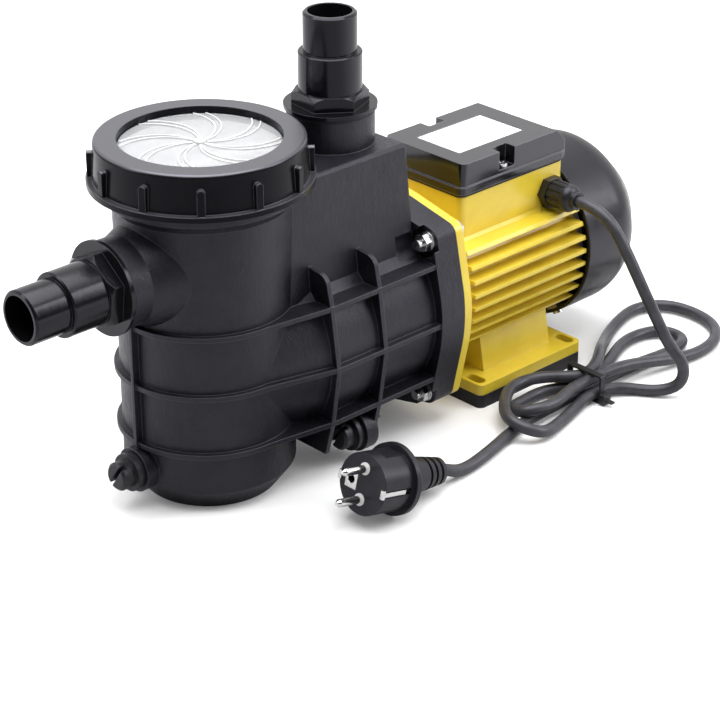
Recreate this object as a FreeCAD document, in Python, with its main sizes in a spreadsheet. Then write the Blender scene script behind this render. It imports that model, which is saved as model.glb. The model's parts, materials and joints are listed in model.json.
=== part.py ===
"""Self-priming pool pump: strainer pot, volute casing, hose adapters, finned motor and its mains lead.

Frame: millimetres, +Z up. The origin is on the floor at the centre of the motor's foot pattern,
+X runs along the shaft from the strainer pot to the fan and +Y points to the side away from the cable gland.
"""
import FreeCAD, Part
import Sketcher

import math
import os

SIZES = {
    # shaft line
    "shaft_z": 77.0,
    # strainer pot, a vertical vessel about its own axis
    "pot_x": -222.0, "pot_r": 51.3, "pot_wall": 3.5, "pot_floor": 6.0, "base_r": 41.0,
    "wall_foot_z": 14.0, "pot_round": 3.0, "shoulder_low_z": 178.0, "shoulder_z": 184.0,
    "shoulder_top_z": 188.5, "shoulder_r": 57.6, "neck_r": 54.0, "neck_z": 201.5,
    "hoop_r": 54.5, "hoop_thick": 3.0, "hoop_pitch": 37.4, "hoop_mid_y": 66.4, "hoop_side_y": 61.0,
    "inlet_flare_r": 36.0, "inlet_flare": 24.0, "inlet_flare_x": -256.0, "spine_thick": 2.2,
    # volute casing and its stiffening ribs
    "casing_r": 62.0, "cavity_r": 56.0, "cavity_x": -160.0, "casing_cone_r": 50.0, "bell_r": 34.0,
    "bell_x": -172.0, "rib_one_x": -178.0, "rib_two_x": -140.0, "rib_thick": 3.0, "rib_mid_y": 66.4,
    "rib_side_y": 61.0, "rib_top_z": 136.0, "rib_shoulder_y": 56.5, "rib_low_y": 55.5, "rib_low_z": 18.0,
    "rib_round": 8.0,
    # bolted joint between casing and motor
    "flange_x": -94.0, "joint_x": -74.5, "flange_mid": 69.8, "flange_corner": 57.4, "corner_round": 8.0,
    "bulge_round": 100.0,
    "bolt_y": 50.5, "bolt_r": 3.0, "bolt_clear": 0.3, "bolt_pocket_r": 10.0, "bolt_pocket": 4.0,
    "bolt_proud": 10.0, "bolt_across": 10.0, "bolt_head": 4.0, "bolt_nut": 5.0, "washer_r": 6.2,
    "washer_thick": 1.5,
    # discharge box and the two threaded ports
    "box_top_z": 187.0, "box_low_z": 100.0, "box_top_y": 36.0, "box_low_y": 46.0, "box_left_x": -205.0,
    "box_wall": 4.0, "box_round": 3.0, "box_inside_x": -166.0, "port_x": -122.3, "port_boss_r": 26.3,
    "port_top_z": 206.4, "box_mouth": 10.0,
    "inlet_z": 145.4, "inlet_face_x": -292.0, "port_clear_r": 23.9, "port_thread_depth": 15.0,
    "water_r": 18.0,
    # hose adapter, the same part at both ports
    "tail_r": 16.0, "tail_end": 23.6, "step_r": 19.0, "hex_start": 47.0, "hex_across": 40.0,
    "adapter_flange": 55.5, "adapter_flange_r": 27.9, "adapter_flange_thick": 2.4, "adapter_bore_r": 13.2,
    "thread_r": 23.8, "thread_length": 14.0, "adapter_seal": 1.9, "tail_lead": 1.2,
    # lid ring, window and seal
    "lid_low_z": 190.0, "lid_top_z": 216.0, "lid_top_r": 60.2, "lid_low_r": 61.4, "lid_flange_r": 65.0,
    "lid_flange": 3.5, "lid_bore_r": 54.6, "lid_open_r": 47.0, "lid_lip_z": 208.8, "lid_rib": 4.4,
    "lid_rib_top_z": 208.5, "lid_round": 2.0, "lid_seal_z": 203.5, "seal_in_r": 49.5, "seal_out_r": 53.5,
    "window_r": 53.9, "window_flange_z": 208.6, "window_raised_r": 46.5, "window_raised_z": 211.6,
    "arm_r": 30.0, "arm_thick": 0.8, "arm_rise": 0.8, "hub_r": 3.4,
    # strainer basket
    "basket_top_r": 46.2, "basket_rim_r": 47.3, "basket_low_r": 36.5, "basket_low_z": 6.05,
    "basket_rim_z": 196.0, "basket_wall": 2.0, "basket_slot": 5.0, "basket_slot_tall": 24.0,
    "basket_inlet_r": 17.0, "slot_gap": 6.0, "floor_hole_r": 2.5, "handle_half": 3.0, "handle_deep": 5.0,
    # drain plugs
    "drain_z": 24.0, "drain_boss_r": 13.5, "drain_face_x": -280.0, "drain_shank_r": 8.0, "drain_bore_r": 8.1,
    "drain_flange_r": 11.5, "drain_flange": 3.0, "drain_knob_r": 8.6, "drain_knob": 8.5,
    "drain_slot": 2.6, "drain_slot_deep": 4.5, "drain_seal": 2.0, "drain_seal_r": 11.0, "drain_length": 12.0,
    "side_drain_y": -46.6, "side_drain_z": 19.4, "side_drain_face_x": -149.0, "gallery": 24.0,
    "gallery_r": 10.0, "gallery_bore_r": 5.0,
    # wet end
    "diffuser_x": -136.0, "diffuser_r": 54.5, "diffuser_wall": 2.5, "suction_r": 16.0, "suction_bore_r": 13.5,
    "suction_x": -166.0, "impeller_x": -124.0, "impeller_back_x": -106.0, "impeller_r": 44.0, "shroud": 2.5,
    "eye_r": 13.0, "vane_r": 32.0, "vane_thick": 2.0, "impeller_hub_r": 11.0, "impeller_hub_end_x": -101.0,
    "plate_x": -92.0, "plate_web": 4.0, "plate_r": 55.6, "plate_lip_r": 60.0, "plate_lip": 3.5,
    "plate_hub_r": 20.0, "plate_hub_end_x": -80.5, "seat_r": 13.4, "seat_bore_r": 9.0, "seat_x": -95.0,
    "head_x": -99.0, "head_end_x": -95.1, "head_r": 12.5, "gasket_r": 1.0, "nut_long": 7.0,
    # shaft and bearings
    "shaft_tip_x": -118.0, "shaft_thread_r": 5.0, "shaft_wet_r": 7.0, "shaft_r": 7.5, "shaft_mid_r": 10.0,
    "shaft_end_x": 88.0, "fan_seat_r": 6.5, "bearing_front_x": -64.0, "bearing_wide": 11.0,
    "bearing_rear_x": 47.0, "bearing_out_r": 17.5, "bearing_pitch_r": 12.5, "race_in_r": 10.8,
    "race_out_r": 14.2, "ball_r": 3.0, "race_groove_r": 3.06, "cage_thick": 0.9, "cage_wide": 6.4,
    # motor
    "shield_thick": 6.0, "shield_spigot_r": 43.9, "shield_hub_r": 23.0, "shield_hub_end_x": -53.0,
    "shield_web": 4.5, "housing_x": -68.4, "housing_end_x": 50.0, "housing_r": 47.5, "housing_bore_r": 44.0,
    "fin_tip_r": 56.5, "fin_start_x": -53.6, "fin_end_x": 49.4, "fin_pitch": 8.9, "fin_thick": 2.6,
    "fin_top_z": 106.4, "core_half": 25.0, "core_r": 43.95, "core_bore_r": 25.3, "rotor_r": 25.0,
    "winding_out_r": 37.0, "winding_in_r": 27.5, "winding_end": 39.0, "rod_r": 2.0, "rod_ring_r": 40.6,
    "rod_hole_r": 2.2, "rear_shield_end_x": 60.0, "fan_x": 66.0, "fan_r": 50.0, "fan_depth": 22.0,
    "fan_thick": 2.0, "fan_hub_r": 12.0,
    # fan cover
    "fan_cover_x": 50.4, "fan_cover_r": 58.8, "fan_cover_wall": 2.2, "fan_cover_bend_x": 92.0,
    "fan_cover_end_x": 118.0, "fan_cover_end_r": 36.0, "bend_round": 26.0, "end_round": 7.0,
    "grille_bar": 3.2, "lug_low_r": 38.0, "lug_x": 50.6, "lug_long": 8.0, "lug_wide": 9.0, "lug_gap": 0.05,
    "cover_seat": 0.9,
    # terminal box
    "term_left_x": -45.5, "term_right_x": 49.0, "term_half_y": 34.5, "term_low_z": 100.0, "term_rim_z": 136.5,
    "term_floor_z": 126.5, "term_round": 5.0, "term_wall": 3.0, "term_gasket": 1.8,
    "cover_top_z": 158.3, "cover_slope": 8.0, "cover_lip": 5.0,
    "cover_proud": 1.2, "cover_wall": 2.4, "cover_round": 4.0, "screw_r": 1.9, "screw_head_r": 3.4,
    "screw_head": 2.4, "pillar_half": 4.0, "pillar_deep": 8.0, "label_x": -31.4,
    "label_wide": 58.0, "label_deep": 37.6,
    "label_sink": 0.8, "cover_screw_x": -5.0, "notch_wide": 14.0, "notch_deep": 8.0, "notch_floor_z": 146.0,
    "capacitor_r": 13.0, "capacitor_long": 58.0, "strip_long": 36.0, "strip_low_y": -22.0,
    "strip_wide": 14.0, "strip_tall": 12.0, "strip_pitch": 7.0,
    # feet
    "foot_half_x": 47.6, "foot_half_y": 57.3, "foot_round": 4.0, "pad_thick": 9.1, "foot_thick": 7.1,
    "slot_x": 41.7,
    "slot_y": 47.0, "slot_wide": 7.0, "slot_long": 14.0, "saddle_half_x": 31.0, "saddle_low_y": 44.0,
    "saddle_top_y": 37.0, "saddle_top_z": 52.0, "web_half_x": 43.0, "web_half_y": 28.0,
    # gland and mains lead
    "gland_x": 35.0, "gland_z": 119.0, "gland_hex": 18.6, "gland_r": 9.0, "gland_nut": 5.5,
    "gland_round": 4.6,
    "gland_dome": 20.0, "grip_r": 1.2, "gland_thread_r": 8.0, "cable_r": 3.8, "cable_low_z": 5.7,
    "cable_lift": 8.2,
    "tie_x": 14.0, "tie_y": -91.0, "tie_wide": 4.6, "tie_half": 14.2, "tie_thick": 1.2, "tie_top_z": 18.2,
    "tie_round": 1.1,
    # mains plug
    "plug_x": -199.8, "plug_y": -108.5, "plug_z": 27.7, "plug_tilt": 14.0, "plug_r": 18.6, "plug_long": 36.0,
    "collar_behind": 23.0, "collar_proud": 3.0, "collar_thick": 3.5, "shoulder_slim": 5.5, "boot_long": 27.0,
    "boot_r": 12.0, "boot_end_r": 8.2, "boot_groove": 2.2, "boot_pitch": 5.5, "groove_core_r": 6.6,
    "cable_grip": 13.0, "flat_long": 15.0, "flat_wide": 15.0, "flat_deep": 2.4, "pin_r": 2.4, "pin_nose": 2.0,
    "pin_root": 8.0, "pin_long": 19.0, "pin_pitch": 19.0, "sleeve_r": 3.7, "sleeve_proud": 0.8,
    "clip_long": 17.0, "clip_thick": 1.2, "clip_wide": 2.6, "clip_slot": 4.0, "hook_long": 1.6,
    "hook_wide": 5.4, "socket_side": 9.0, "socket_wide": 9.0, "socket_tall": 11.0, "socket_thick": 1.4,
    "socket_proud": 0.4, "socket_r": 2.6, "socket_deep": 14.0,
}

UP = FreeCAD.Vector(0, 0, 1)
FORWARD = FreeCAD.Vector(1, 0, 0)
BACKWARD = FreeCAD.Vector(-1, 0, 0)
SIDEWAYS = FreeCAD.Vector(0, 1, 0)
FULL_TURN = 360.0

# counts and angles that are not lengths
LID_RIBS = 12
LID_RIB_ANGLE = 20.0
INLET_HEX_TURN = 7.0
OUTLET_HEX_TURN = 37.0
WINDOW_ARMS = 8
WINDOW_ARM_SWEEP = 92.0
WINDOW_ARM_START = 188.0
WINDOW_ARM_SPREAD = 9.0
BASKET_TIERS = 5
BASKET_SLOTS = 8
FLOOR_HOLE_RINGS = (10, 20, 30)
FLOOR_HOLES = 6
SLOT_TILT = 35
VANES = 6
VANE_SWEEP = 75.0
BALLS = 8
FINS = 8
FAN_BLADES = 8
GRILLE_SLOTS = 4
STRIP_POLES = 5
GLAND_GRIPS = 12
BOOT_GROOVES = 3
COVER_SCREW_ANGLES = (240, 300)
COVER_LUG_ANGLE = 90

doc = FreeCAD.newDocument("pool_pump")
sheet = doc.addObject("Spreadsheet::Sheet", "dims")
finished = []


def fill_sheet():
    """Writes every driving dimension to the sheet with its alias."""
    for row, (alias, value) in enumerate(SIZES.items(), start=1):
        sheet.set("A%d" % row, alias.replace("_", " "))
        sheet.set("B%d" % row, str(value))
        sheet.setAlias("B%d" % row, alias)
    doc.recompute()


def size(alias):
    """A driving dimension's present value."""
    return float(sheet.get(alias))


def expression(text):
    """Turns plain aliases into spreadsheet references."""
    words = []
    word = ""
    for letter in str(text) + " ":
        if letter.isalnum() or letter in "_.":
            word += letter
            continue
        words.append("dims." + word if word in SIZES else word)
        words.append(letter)
        word = ""
    return "".join(words).strip()


def bind(item, **properties):
    """Binds properties to expressions of the driving dimensions."""
    for name, text in properties.items():
        item.setExpression(name, expression(text))
    return item


def put(item, x="0", y="0", z="0", axis=UP, spin=0.0):
    """Places an item by expressions, with its local Z turned to an axis and then spun about that axis."""
    turn = FreeCAD.Rotation(axis, spin).multiply(FreeCAD.Rotation(UP, axis))
    item.Placement = FreeCAD.Placement(FreeCAD.Vector(0, 0, 0), turn)
    for letter, text in (("x", x), ("y", y), ("z", z)):
        if text != "0":
            item.setExpression(".Placement.Base." + letter, expression(text))
    return item


def rod(r, long, **place):
    """A cylinder whose base centre is placed and which grows along the placed axis."""
    return put(bind(doc.addObject("Part::Cylinder", "rod"), Radius=r, Height=long), **place)


def cone(r_start, r_end, long, **place):
    """A frustum that grows along the placed axis."""
    item = bind(doc.addObject("Part::Cone", "cone"), Radius1=r_start, Radius2=r_end, Height=long)
    return put(item, **place)


def block(x_low, x_high, y_low, y_high, z_low, z_high):
    """An upright box between six coordinates."""
    item = doc.addObject("Part::Box", "block")
    bind(item, Length="(%s)-(%s)" % (x_high, x_low), Width="(%s)-(%s)" % (y_high, y_low),
         Height="(%s)-(%s)" % (z_high, z_low))
    return put(item, x=x_low, y=y_low, z=z_low)


def hexagon(across, long, **place):
    """A hexagonal prism given by its size across flats."""
    item = doc.addObject("Part::Prism", "hexagon")
    item.Polygon = 6
    bind(item, Circumradius="(%s)/2/cos(30)" % across, Height=long)
    return put(item, **place)


def join(*items):
    """Fuses items that are one piece."""
    if len(items) == 1:
        return items[0]
    fused = doc.addObject("Part::MultiFuse", "join")
    fused.Shapes = list(items)
    fused.Refine = False
    return fused


def cut(base, *tools):
    """Cuts one or more tools from a base."""
    result = doc.addObject("Part::Cut", "cut")
    result.Base = base
    result.Tool = join(*tools)
    result.Refine = False
    return result


def common(base, tool):
    """Keeps what two items share."""
    result = doc.addObject("Part::Common", "common")
    result.Base = base
    result.Tool = tool
    return result


def group(*items):
    """Separate solids that share one node."""
    result = doc.addObject("Part::Compound", "group")
    result.Links = list(items)
    return result


def soften(base, radius, wanted):
    """Rounds the edges of a solid for which wanted(edge) is true."""
    doc.recompute()
    result = doc.addObject("Part::Fillet", "soften")
    result.Base = base
    picked = [number for number, edge in enumerate(base.Shape.Edges, start=1) if wanted(edge)]
    result.Edges = [(number, size(radius), size(radius)) for number in picked]
    return result


def upright_edge(edge):
    """True for a straight vertical edge."""
    return abs(edge.tangentAt(edge.FirstParameter).z) > 0.99


def lengthwise(edge):
    """True for a straight edge along the shaft."""
    return abs(edge.tangentAt(edge.FirstParameter).x) > 0.99


def name(label, item):
    """Finishes a sub-part under its own name."""
    item.Label = label
    finished.append(item)
    return item


def origin_plane(body, role):
    """One of a body's own origin planes."""
    return next(feature for feature in body.Origin.OriginFeatures if feature.Role == role)


def outline(body, role, points):
    """A closed sketch on one of the body's origin planes, its corners held by expressions (along, up)."""
    sketch = body.newObject("Sketcher::SketchObject", "outline")
    sketch.AttachmentSupport = (origin_plane(body, role), [""])
    sketch.MapMode = "FlatFace"
    rough = [FreeCAD.Vector(worth(along), worth(up), 0) for along, up in points]
    count = len(rough)
    lines = [Part.LineSegment(rough[i], rough[(i + 1) % count]) for i in range(count)]
    sketch.addGeometry(lines, False)
    for i in range(count):
        sketch.addConstraint(Sketcher.Constraint("Coincident", i, 2, (i + 1) % count, 1))
    for i, corner in enumerate(points):
        for kind, text, mirror_axis, value in (("DistanceX", corner[0], -2, rough[i].x),
                                               ("DistanceY", corner[1], -1, rough[i].y)):
            if text == "0":
                sketch.addConstraint(Sketcher.Constraint("PointOnObject", i, 1, mirror_axis))
                continue
            number = sketch.addConstraint(Sketcher.Constraint(kind, i, 1, value))
            label = "%s%d" % (kind[-1].lower(), i)
            sketch.renameConstraint(number, label)
            sketch.setExpression("Constraints." + label, expression(text))
    return sketch


def worth(text):
    """The value of an expression of the driving dimensions."""
    probe = doc.getObject("probe") or doc.addObject("App::FeaturePython", "probe")
    if "worth" not in probe.PropertiesList:
        probe.addProperty("App::PropertyFloat", "worth")
    return float(probe.evalExpression(expression(text)))


def turned_upright(points, x="0", y="0"):
    """A body turned about a vertical axis from corners (radius, height)."""
    body = doc.addObject("PartDesign::Body", "turned")
    sketch = outline(body, "XZ_Plane", points)
    turn = body.newObject("PartDesign::Revolution", "turn")
    turn.Profile = sketch
    turn.ReferenceAxis = (sketch, ["V_Axis"])
    turn.Angle = FULL_TURN
    body.Tip = turn
    return put(body, x=x, y=y)


def turned_level(points, y="0", z="shaft_z"):
    """A body turned about a horizontal axis along X from corners (x, radius)."""
    body = doc.addObject("PartDesign::Body", "turned")
    sketch = outline(body, "XZ_Plane", points)
    turn = body.newObject("PartDesign::Revolution", "turn")
    turn.Profile = sketch
    turn.ReferenceAxis = (sketch, ["H_Axis"])
    turn.Angle = FULL_TURN
    body.Tip = turn
    return put(body, y=y, z=z)


def plate(role, points, thick, **place):
    """A flat plate padded up from an outline on an origin plane."""
    body = doc.addObject("PartDesign::Body", "plate")
    sketch = outline(body, role, points)
    pad = body.newObject("PartDesign::Pad", "pad")
    pad.Profile = sketch
    bind(pad, Length=thick)
    body.Tip = pad
    return put(body, **place)


def spoke(r_in, r_out, wide, z_low, z_high, angle, x="pot_x"):
    """A radial bar about a vertical axis, at an angle in degrees."""
    bar = doc.addObject("Part::Box", "spoke")
    bind(bar, Length="(%s)-(%s)" % (r_out, r_in), Width=wide, Height="(%s)-(%s)" % (z_high, z_low))
    along = "%s+(%s)*cos(%s)+(%s)/2*sin(%s)" % (x, r_in, angle, wide, angle)
    across = "(%s)*sin(%s)-(%s)/2*cos(%s)" % (r_in, angle, wide, angle)
    return put(bar, x=along, y=across, z=z_low, spin=float(angle))


def radial(angle):
    """The horizontal direction at an angle in degrees."""
    return FreeCAD.Vector(math.cos(math.radians(angle)), math.sin(math.radians(angle)), 0)


def bulged_square(back_x, thick):
    """The eight-sided outline shared by the casing flange and the motor shield, with rounded corners."""
    points = [("-flange_mid", "0"), ("-flange_corner", "flange_corner"), ("0", "flange_mid"),
              ("flange_corner", "flange_corner"), ("flange_mid", "0"), ("flange_corner", "-flange_corner"),
              ("0", "-flange_mid"), ("-flange_corner", "-flange_corner")]
    slab = plate("YZ_Plane", points, thick, x=back_x, z="shaft_z")

    def corner(edge):
        return lengthwise(edge) and abs(abs(edge.CenterOfMass.y) - size("flange_corner")) < 0.01

    def bulge(edge):
        out = max(abs(edge.CenterOfMass.y), abs(edge.CenterOfMass.z - size("shaft_z")))
        return lengthwise(edge) and abs(out - size("flange_mid")) < 0.01

    return soften(soften(slab, "corner_round", corner), "bulge_round", bulge)


def at_bolts(make):
    """One item at each of the four flange bolts, made from (y, z) expressions."""
    corners = ((-1, -1), (-1, 1), (1, -1), (1, 1))
    return [make("%d*bolt_y" % side, "shaft_z+%d*bolt_y" % rise) for side, rise in corners]


def pump_body():
    """The moulded strainer pot, volute casing, discharge box and ports, all one piece."""
    pot = turned_upright([("0", "0"), ("base_r", "0"), ("pot_r", "wall_foot_z"), ("pot_r", "shoulder_low_z"),
                          ("shoulder_r", "shoulder_z"), ("shoulder_r", "shoulder_top_z"),
                          ("neck_r", "shoulder_top_z"), ("neck_r", "neck_z"), ("0", "neck_z")], x="pot_x")
    pot = soften(pot, "pot_round", lambda edge: abs(edge.CenterOfMass.z - size("wall_foot_z")) < 0.01
                 and edge.Length > size("base_r"))
    casing = turned_level([("pot_x-4", "0"), ("pot_x-4", "casing_cone_r"), ("rib_one_x", "casing_r"),
                           ("flange_x", "casing_r"), ("flange_x", "0")])
    box = plate("YZ_Plane", [("-box_low_y", "box_low_z"), ("box_low_y", "box_low_z"),
                             ("box_top_y", "box_top_z"), ("-box_top_y", "box_top_z")],
                "flange_x-box_left_x", x="box_left_x")

    def box_edge(edge):
        middle = edge.CenterOfMass
        on_top = abs(middle.z - size("box_top_z")) < 0.01
        on_end = abs(middle.x - size("flange_x")) < 0.01 and middle.z > size("box_low_z") + 1
        return (on_top or on_end) and middle.x > size("box_left_x") + 1

    box = soften(box, "box_round", box_edge)
    outlet = rod("port_boss_r", "port_top_z-box_low_z", x="port_x", z="box_low_z")
    inlet = rod("port_boss_r", "pot_x-inlet_face_x", x="pot_x", z="inlet_z", axis=BACKWARD)
    flare = cone("inlet_flare_r", "port_boss_r", "inlet_flare", x="inlet_flare_x", z="inlet_z", axis=BACKWARD)
    flange = bulged_square("flange_x", "joint_x-flange_x")
    spine = block("drain_face_x+2", "pot_x-pot_r+2", "-spine_thick/2", "spine_thick/2", "drain_z", "inlet_z")
    drain_boss = rod("drain_boss_r", "pot_x-drain_face_x-pot_r/2", x="pot_x-pot_r/2", z="drain_z",
                     axis=BACKWARD)
    side_boss = rod("drain_boss_r", "rib_two_x-side_drain_face_x", x="rib_two_x", y="side_drain_y",
                    z="side_drain_z", axis=BACKWARD)
    inward = FreeCAD.Vector(0, -size("side_drain_y"), size("shaft_z") - size("side_drain_z"))
    inward.normalize()
    gallery = rod("gallery_r", "gallery", x="rib_two_x+2", y="side_drain_y", z="side_drain_z",
                  axis=inward)
    outside = join(pot, casing, box, outlet, inlet, flare, flange, spine, drain_boss, side_boss, gallery,
                   *casing_ribs())

    pot_inside = turned_upright([("0", "pot_floor"), ("base_r-pot_wall", "pot_floor"),
                                 ("pot_r-pot_wall", "wall_foot_z+pot_floor"), ("pot_r-pot_wall", "neck_z+1"),
                                 ("0", "neck_z+1")], x="pot_x")
    suction = rod("suction_r+0.1", "cavity_x-pot_x+1", x="pot_x", z="shaft_z", axis=FORWARD)
    suction_bell = rod("bell_r", "bell_x-pot_x", x="pot_x", z="shaft_z", axis=FORWARD)
    volute = rod("cavity_r", "100", x="cavity_x", z="shaft_z", axis=FORWARD)
    counterbore = rod("plate_lip_r+0.2", "20", x="joint_x-plate_lip-2*gasket_r", z="shaft_z", axis=FORWARD)
    box_inside = plate("YZ_Plane", [("-box_low_y+box_wall", "box_low_z+box_mouth"),
                                    ("box_low_y-box_wall", "box_low_z+box_mouth"),
                                    ("box_top_y-box_wall", "box_top_z-box_wall"),
                                    ("-box_top_y+box_wall", "box_top_z-box_wall")],
                       "flange_x-box_wall-box_inside_x", x="box_inside_x")
    outlet_thread = rod("port_clear_r", "port_thread_depth+1", x="port_x", z="port_top_z-port_thread_depth")
    outlet_water = rod("water_r", "30", x="port_x", z="box_top_z-10")
    inlet_thread = rod("port_clear_r", "port_thread_depth+1", x="inlet_face_x+port_thread_depth",
                       z="inlet_z", axis=BACKWARD)
    inlet_water = rod("water_r", "pot_x-inlet_face_x", x="pot_x", z="inlet_z", axis=BACKWARD)
    drain = rod("drain_bore_r", "drain_length+2", x="drain_face_x+drain_length+1", z="drain_z",
                axis=BACKWARD)
    drain_water = rod("gallery_bore_r", "40", x="pot_x-pot_r+20", z="drain_z", axis=BACKWARD)
    side_drain = rod("drain_bore_r", "drain_length+1", x="side_drain_face_x+drain_length", y="side_drain_y",
                     z="side_drain_z", axis=BACKWARD)
    side_water = rod("gallery_bore_r", "gallery+4", x="rib_two_x+2", y="side_drain_y",
                     z="side_drain_z", axis=inward)
    bolt_holes = at_bolts(lambda y, z: rod("bolt_r+bolt_clear", "60", x="flange_x-20", y=y, z=z,
                                           axis=FORWARD))
    pockets = at_bolts(lambda y, z: rod("bolt_pocket_r", "20", x="flange_x+bolt_pocket-20", y=y, z=z,
                                        axis=FORWARD))
    inside = join(pot_inside, suction, suction_bell, volute, counterbore, box_inside, outlet_thread,
                  outlet_water, inlet_thread, inlet_water, drain, drain_water, side_drain, side_water,
                  *bolt_holes, *pockets)
    return name("pump_body", cut(outside, inside))


def casing_ribs():
    """Two upright ribs across the casing and three hoops that run from the pot to the flange."""
    def rib_corner(edge):
        return lengthwise(edge) and abs(abs(edge.CenterOfMass.y) - size("rib_shoulder_y")) < 0.01

    ribs = []
    for middle_x in ("rib_one_x", "rib_two_x"):
        half = [("rib_low_y", "rib_low_z"), ("rib_side_y", "shaft_z-hoop_pitch"), ("rib_mid_y", "shaft_z"),
                ("rib_side_y", "shaft_z+hoop_pitch"), ("rib_shoulder_y", "rib_top_z-2"),
                ("box_top_y", "rib_top_z")]
        mirrored = [("-" + across, up) for across, up in reversed(half)]
        rib = plate("YZ_Plane", half + mirrored, "rib_thick", x=middle_x + "-rib_thick/2")
        ribs.append(soften(rib, "rib_round", rib_corner))
    for steps in (-1, 0, 1):
        low = "shaft_z+%d*hoop_pitch-hoop_thick/2" % steps
        reach = "hoop_mid_y" if steps == 0 else "hoop_side_y"
        ribs.append(rod("hoop_r", "hoop_thick", x="pot_x", z=low))
        ribs.append(plate("XY_Plane", [("pot_x-6", "-hoop_r+0.9"), ("rib_one_x", "-" + reach),
                                       ("flange_x+1", "-" + reach), ("flange_x+1", reach),
                                       ("rib_one_x", reach), ("pot_x-6", "hoop_r-0.9")],
                          "hoop_thick", z=low))
    return ribs


def lid_ring():
    """The threaded ring that clamps the window, with gripping ribs round its skirt."""
    ring = turned_upright([("lid_bore_r", "lid_low_z"), ("lid_flange_r", "lid_low_z"),
                           ("lid_flange_r", "lid_low_z+lid_flange"), ("lid_low_r", "lid_low_z+lid_flange"),
                           ("lid_top_r", "lid_top_z"), ("lid_open_r", "lid_top_z"),
                           ("lid_open_r", "lid_lip_z"), ("lid_bore_r", "lid_lip_z")], x="pot_x")

    def outer_rim(edge):
        return (abs(edge.CenterOfMass.z - size("lid_top_z")) < 0.01
                and edge.Length > math.tau * size("lid_open_r") + 1)

    ring = soften(ring, "lid_round", outer_rim)
    ribs = []
    for step in range(LID_RIBS):
        angle = LID_RIB_ANGLE + step * FULL_TURN / LID_RIBS
        ribs.append(spoke("lid_bore_r+2", "lid_flange_r-1", "lid_rib", "lid_low_z+1",
                          "lid_rib_top_z-lid_rib/2", angle))
        out = radial(angle)
        ribs.append(rod("lid_rib/2+0.15", "lid_flange_r-lid_bore_r-3", x="pot_x+(lid_bore_r+2)*%.4f" % out.x,
                        y="(lid_bore_r+2)*%.4f" % out.y, z="lid_rib_top_z-lid_rib/2", axis=out))
    return name("lid_ring", join(ring, *ribs))


def window():
    """The clear window: a clamped rim, a raised disc and arms of paired curved lines from a hub."""
    disc = turned_upright([("0", "lid_seal_z+1.5"), ("window_raised_r-3", "lid_seal_z+1.5"),
                           ("window_raised_r-2", "lid_seal_z"), ("window_r", "lid_seal_z"),
                           ("window_r", "window_flange_z"), ("window_raised_r", "window_flange_z"),
                           ("window_raised_r", "window_raised_z"), ("0", "window_raised_z")], x="pot_x")
    hub = rod("hub_r", "2*arm_rise", x="pot_x", z="window_raised_z")
    lines = []
    for step in range(WINDOW_ARMS):
        for spread in (-0.5, 0.5):
            angle = step * FULL_TURN / WINDOW_ARMS + spread * WINDOW_ARM_SPREAD
            centre = radial(angle)
            place = {"x": "pot_x+arm_r*%.4f" % centre.x, "y": "arm_r*%.4f" % centre.y,
                     "z": "window_raised_z-0.2", "spin": angle + WINDOW_ARM_START}
            outer = rod("arm_r", "arm_rise+0.2", **place)
            inner = rod("arm_r-arm_thick", "arm_rise+0.4", **place)
            outer.Angle = WINDOW_ARM_SWEEP
            inner.Angle = WINDOW_ARM_SWEEP
            lines.append(cut(outer, inner))
    return name("lid_window", join(disc, hub, *lines))


def strainer_basket():
    """The slotted basket that hangs from its rim inside the pot, with a moulded cross handle."""
    shell = turned_upright([("0", "basket_low_z"), ("basket_low_r", "basket_low_z"),
                            ("basket_top_r", "basket_rim_z-3"), ("basket_rim_r", "basket_rim_z-3"),
                            ("basket_rim_r", "basket_rim_z"), ("basket_top_r-basket_wall", "basket_rim_z"),
                            ("basket_low_r-basket_wall", "basket_low_z+basket_wall"),
                            ("0", "basket_low_z+basket_wall")], x="pot_x")
    slots = []
    for tier in range(BASKET_TIERS):
        low = "basket_low_z+8+%d*(basket_slot_tall+slot_gap)" % tier
        for step in range(BASKET_SLOTS):
            angle = step * 0.5 * FULL_TURN / BASKET_SLOTS
            slots.append(spoke("-basket_rim_r-1", "basket_rim_r+1", "basket_slot", low,
                               low + "+basket_slot_tall", angle))
    for ring in FLOOR_HOLE_RINGS:
        for step in range(FLOOR_HOLES):
            out = radial(step * FULL_TURN / FLOOR_HOLES + ring)
            slots.append(rod("floor_hole_r", "10", x="pot_x+%.3f" % (ring * out.x), y="%.3f" % (ring * out.y),
                             z="basket_low_z-5"))
    inlet = rod("basket_inlet_r", "60", x="pot_x-10", z="inlet_z", axis=BACKWARD)
    handle = block("pot_x-basket_top_r+1", "pot_x+basket_top_r-1", "-handle_half", "handle_half",
                   "basket_rim_z-handle_deep", "basket_rim_z")
    return name("strainer_basket", join(cut(shell, inlet, *slots), handle))


def flat_ring(label, r_in, r_out, thick, **place):
    """A plain ring, such as a gasket or a washer."""
    return name(label, ring_shape(r_in, r_out, thick, **place))


def ring_shape(r_in, r_out, thick, **place):
    """A tube between two radii that grows along the placed axis."""
    return cut(rod(r_out, thick, **place), rod(r_in, thick, **place))


def seal_ring(label, r, section, **place):
    """A round-section ring."""
    item = bind(doc.addObject("Part::Torus", "torus"), Radius1=r, Radius2=section)
    return name(label, put(item, **place))


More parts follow.
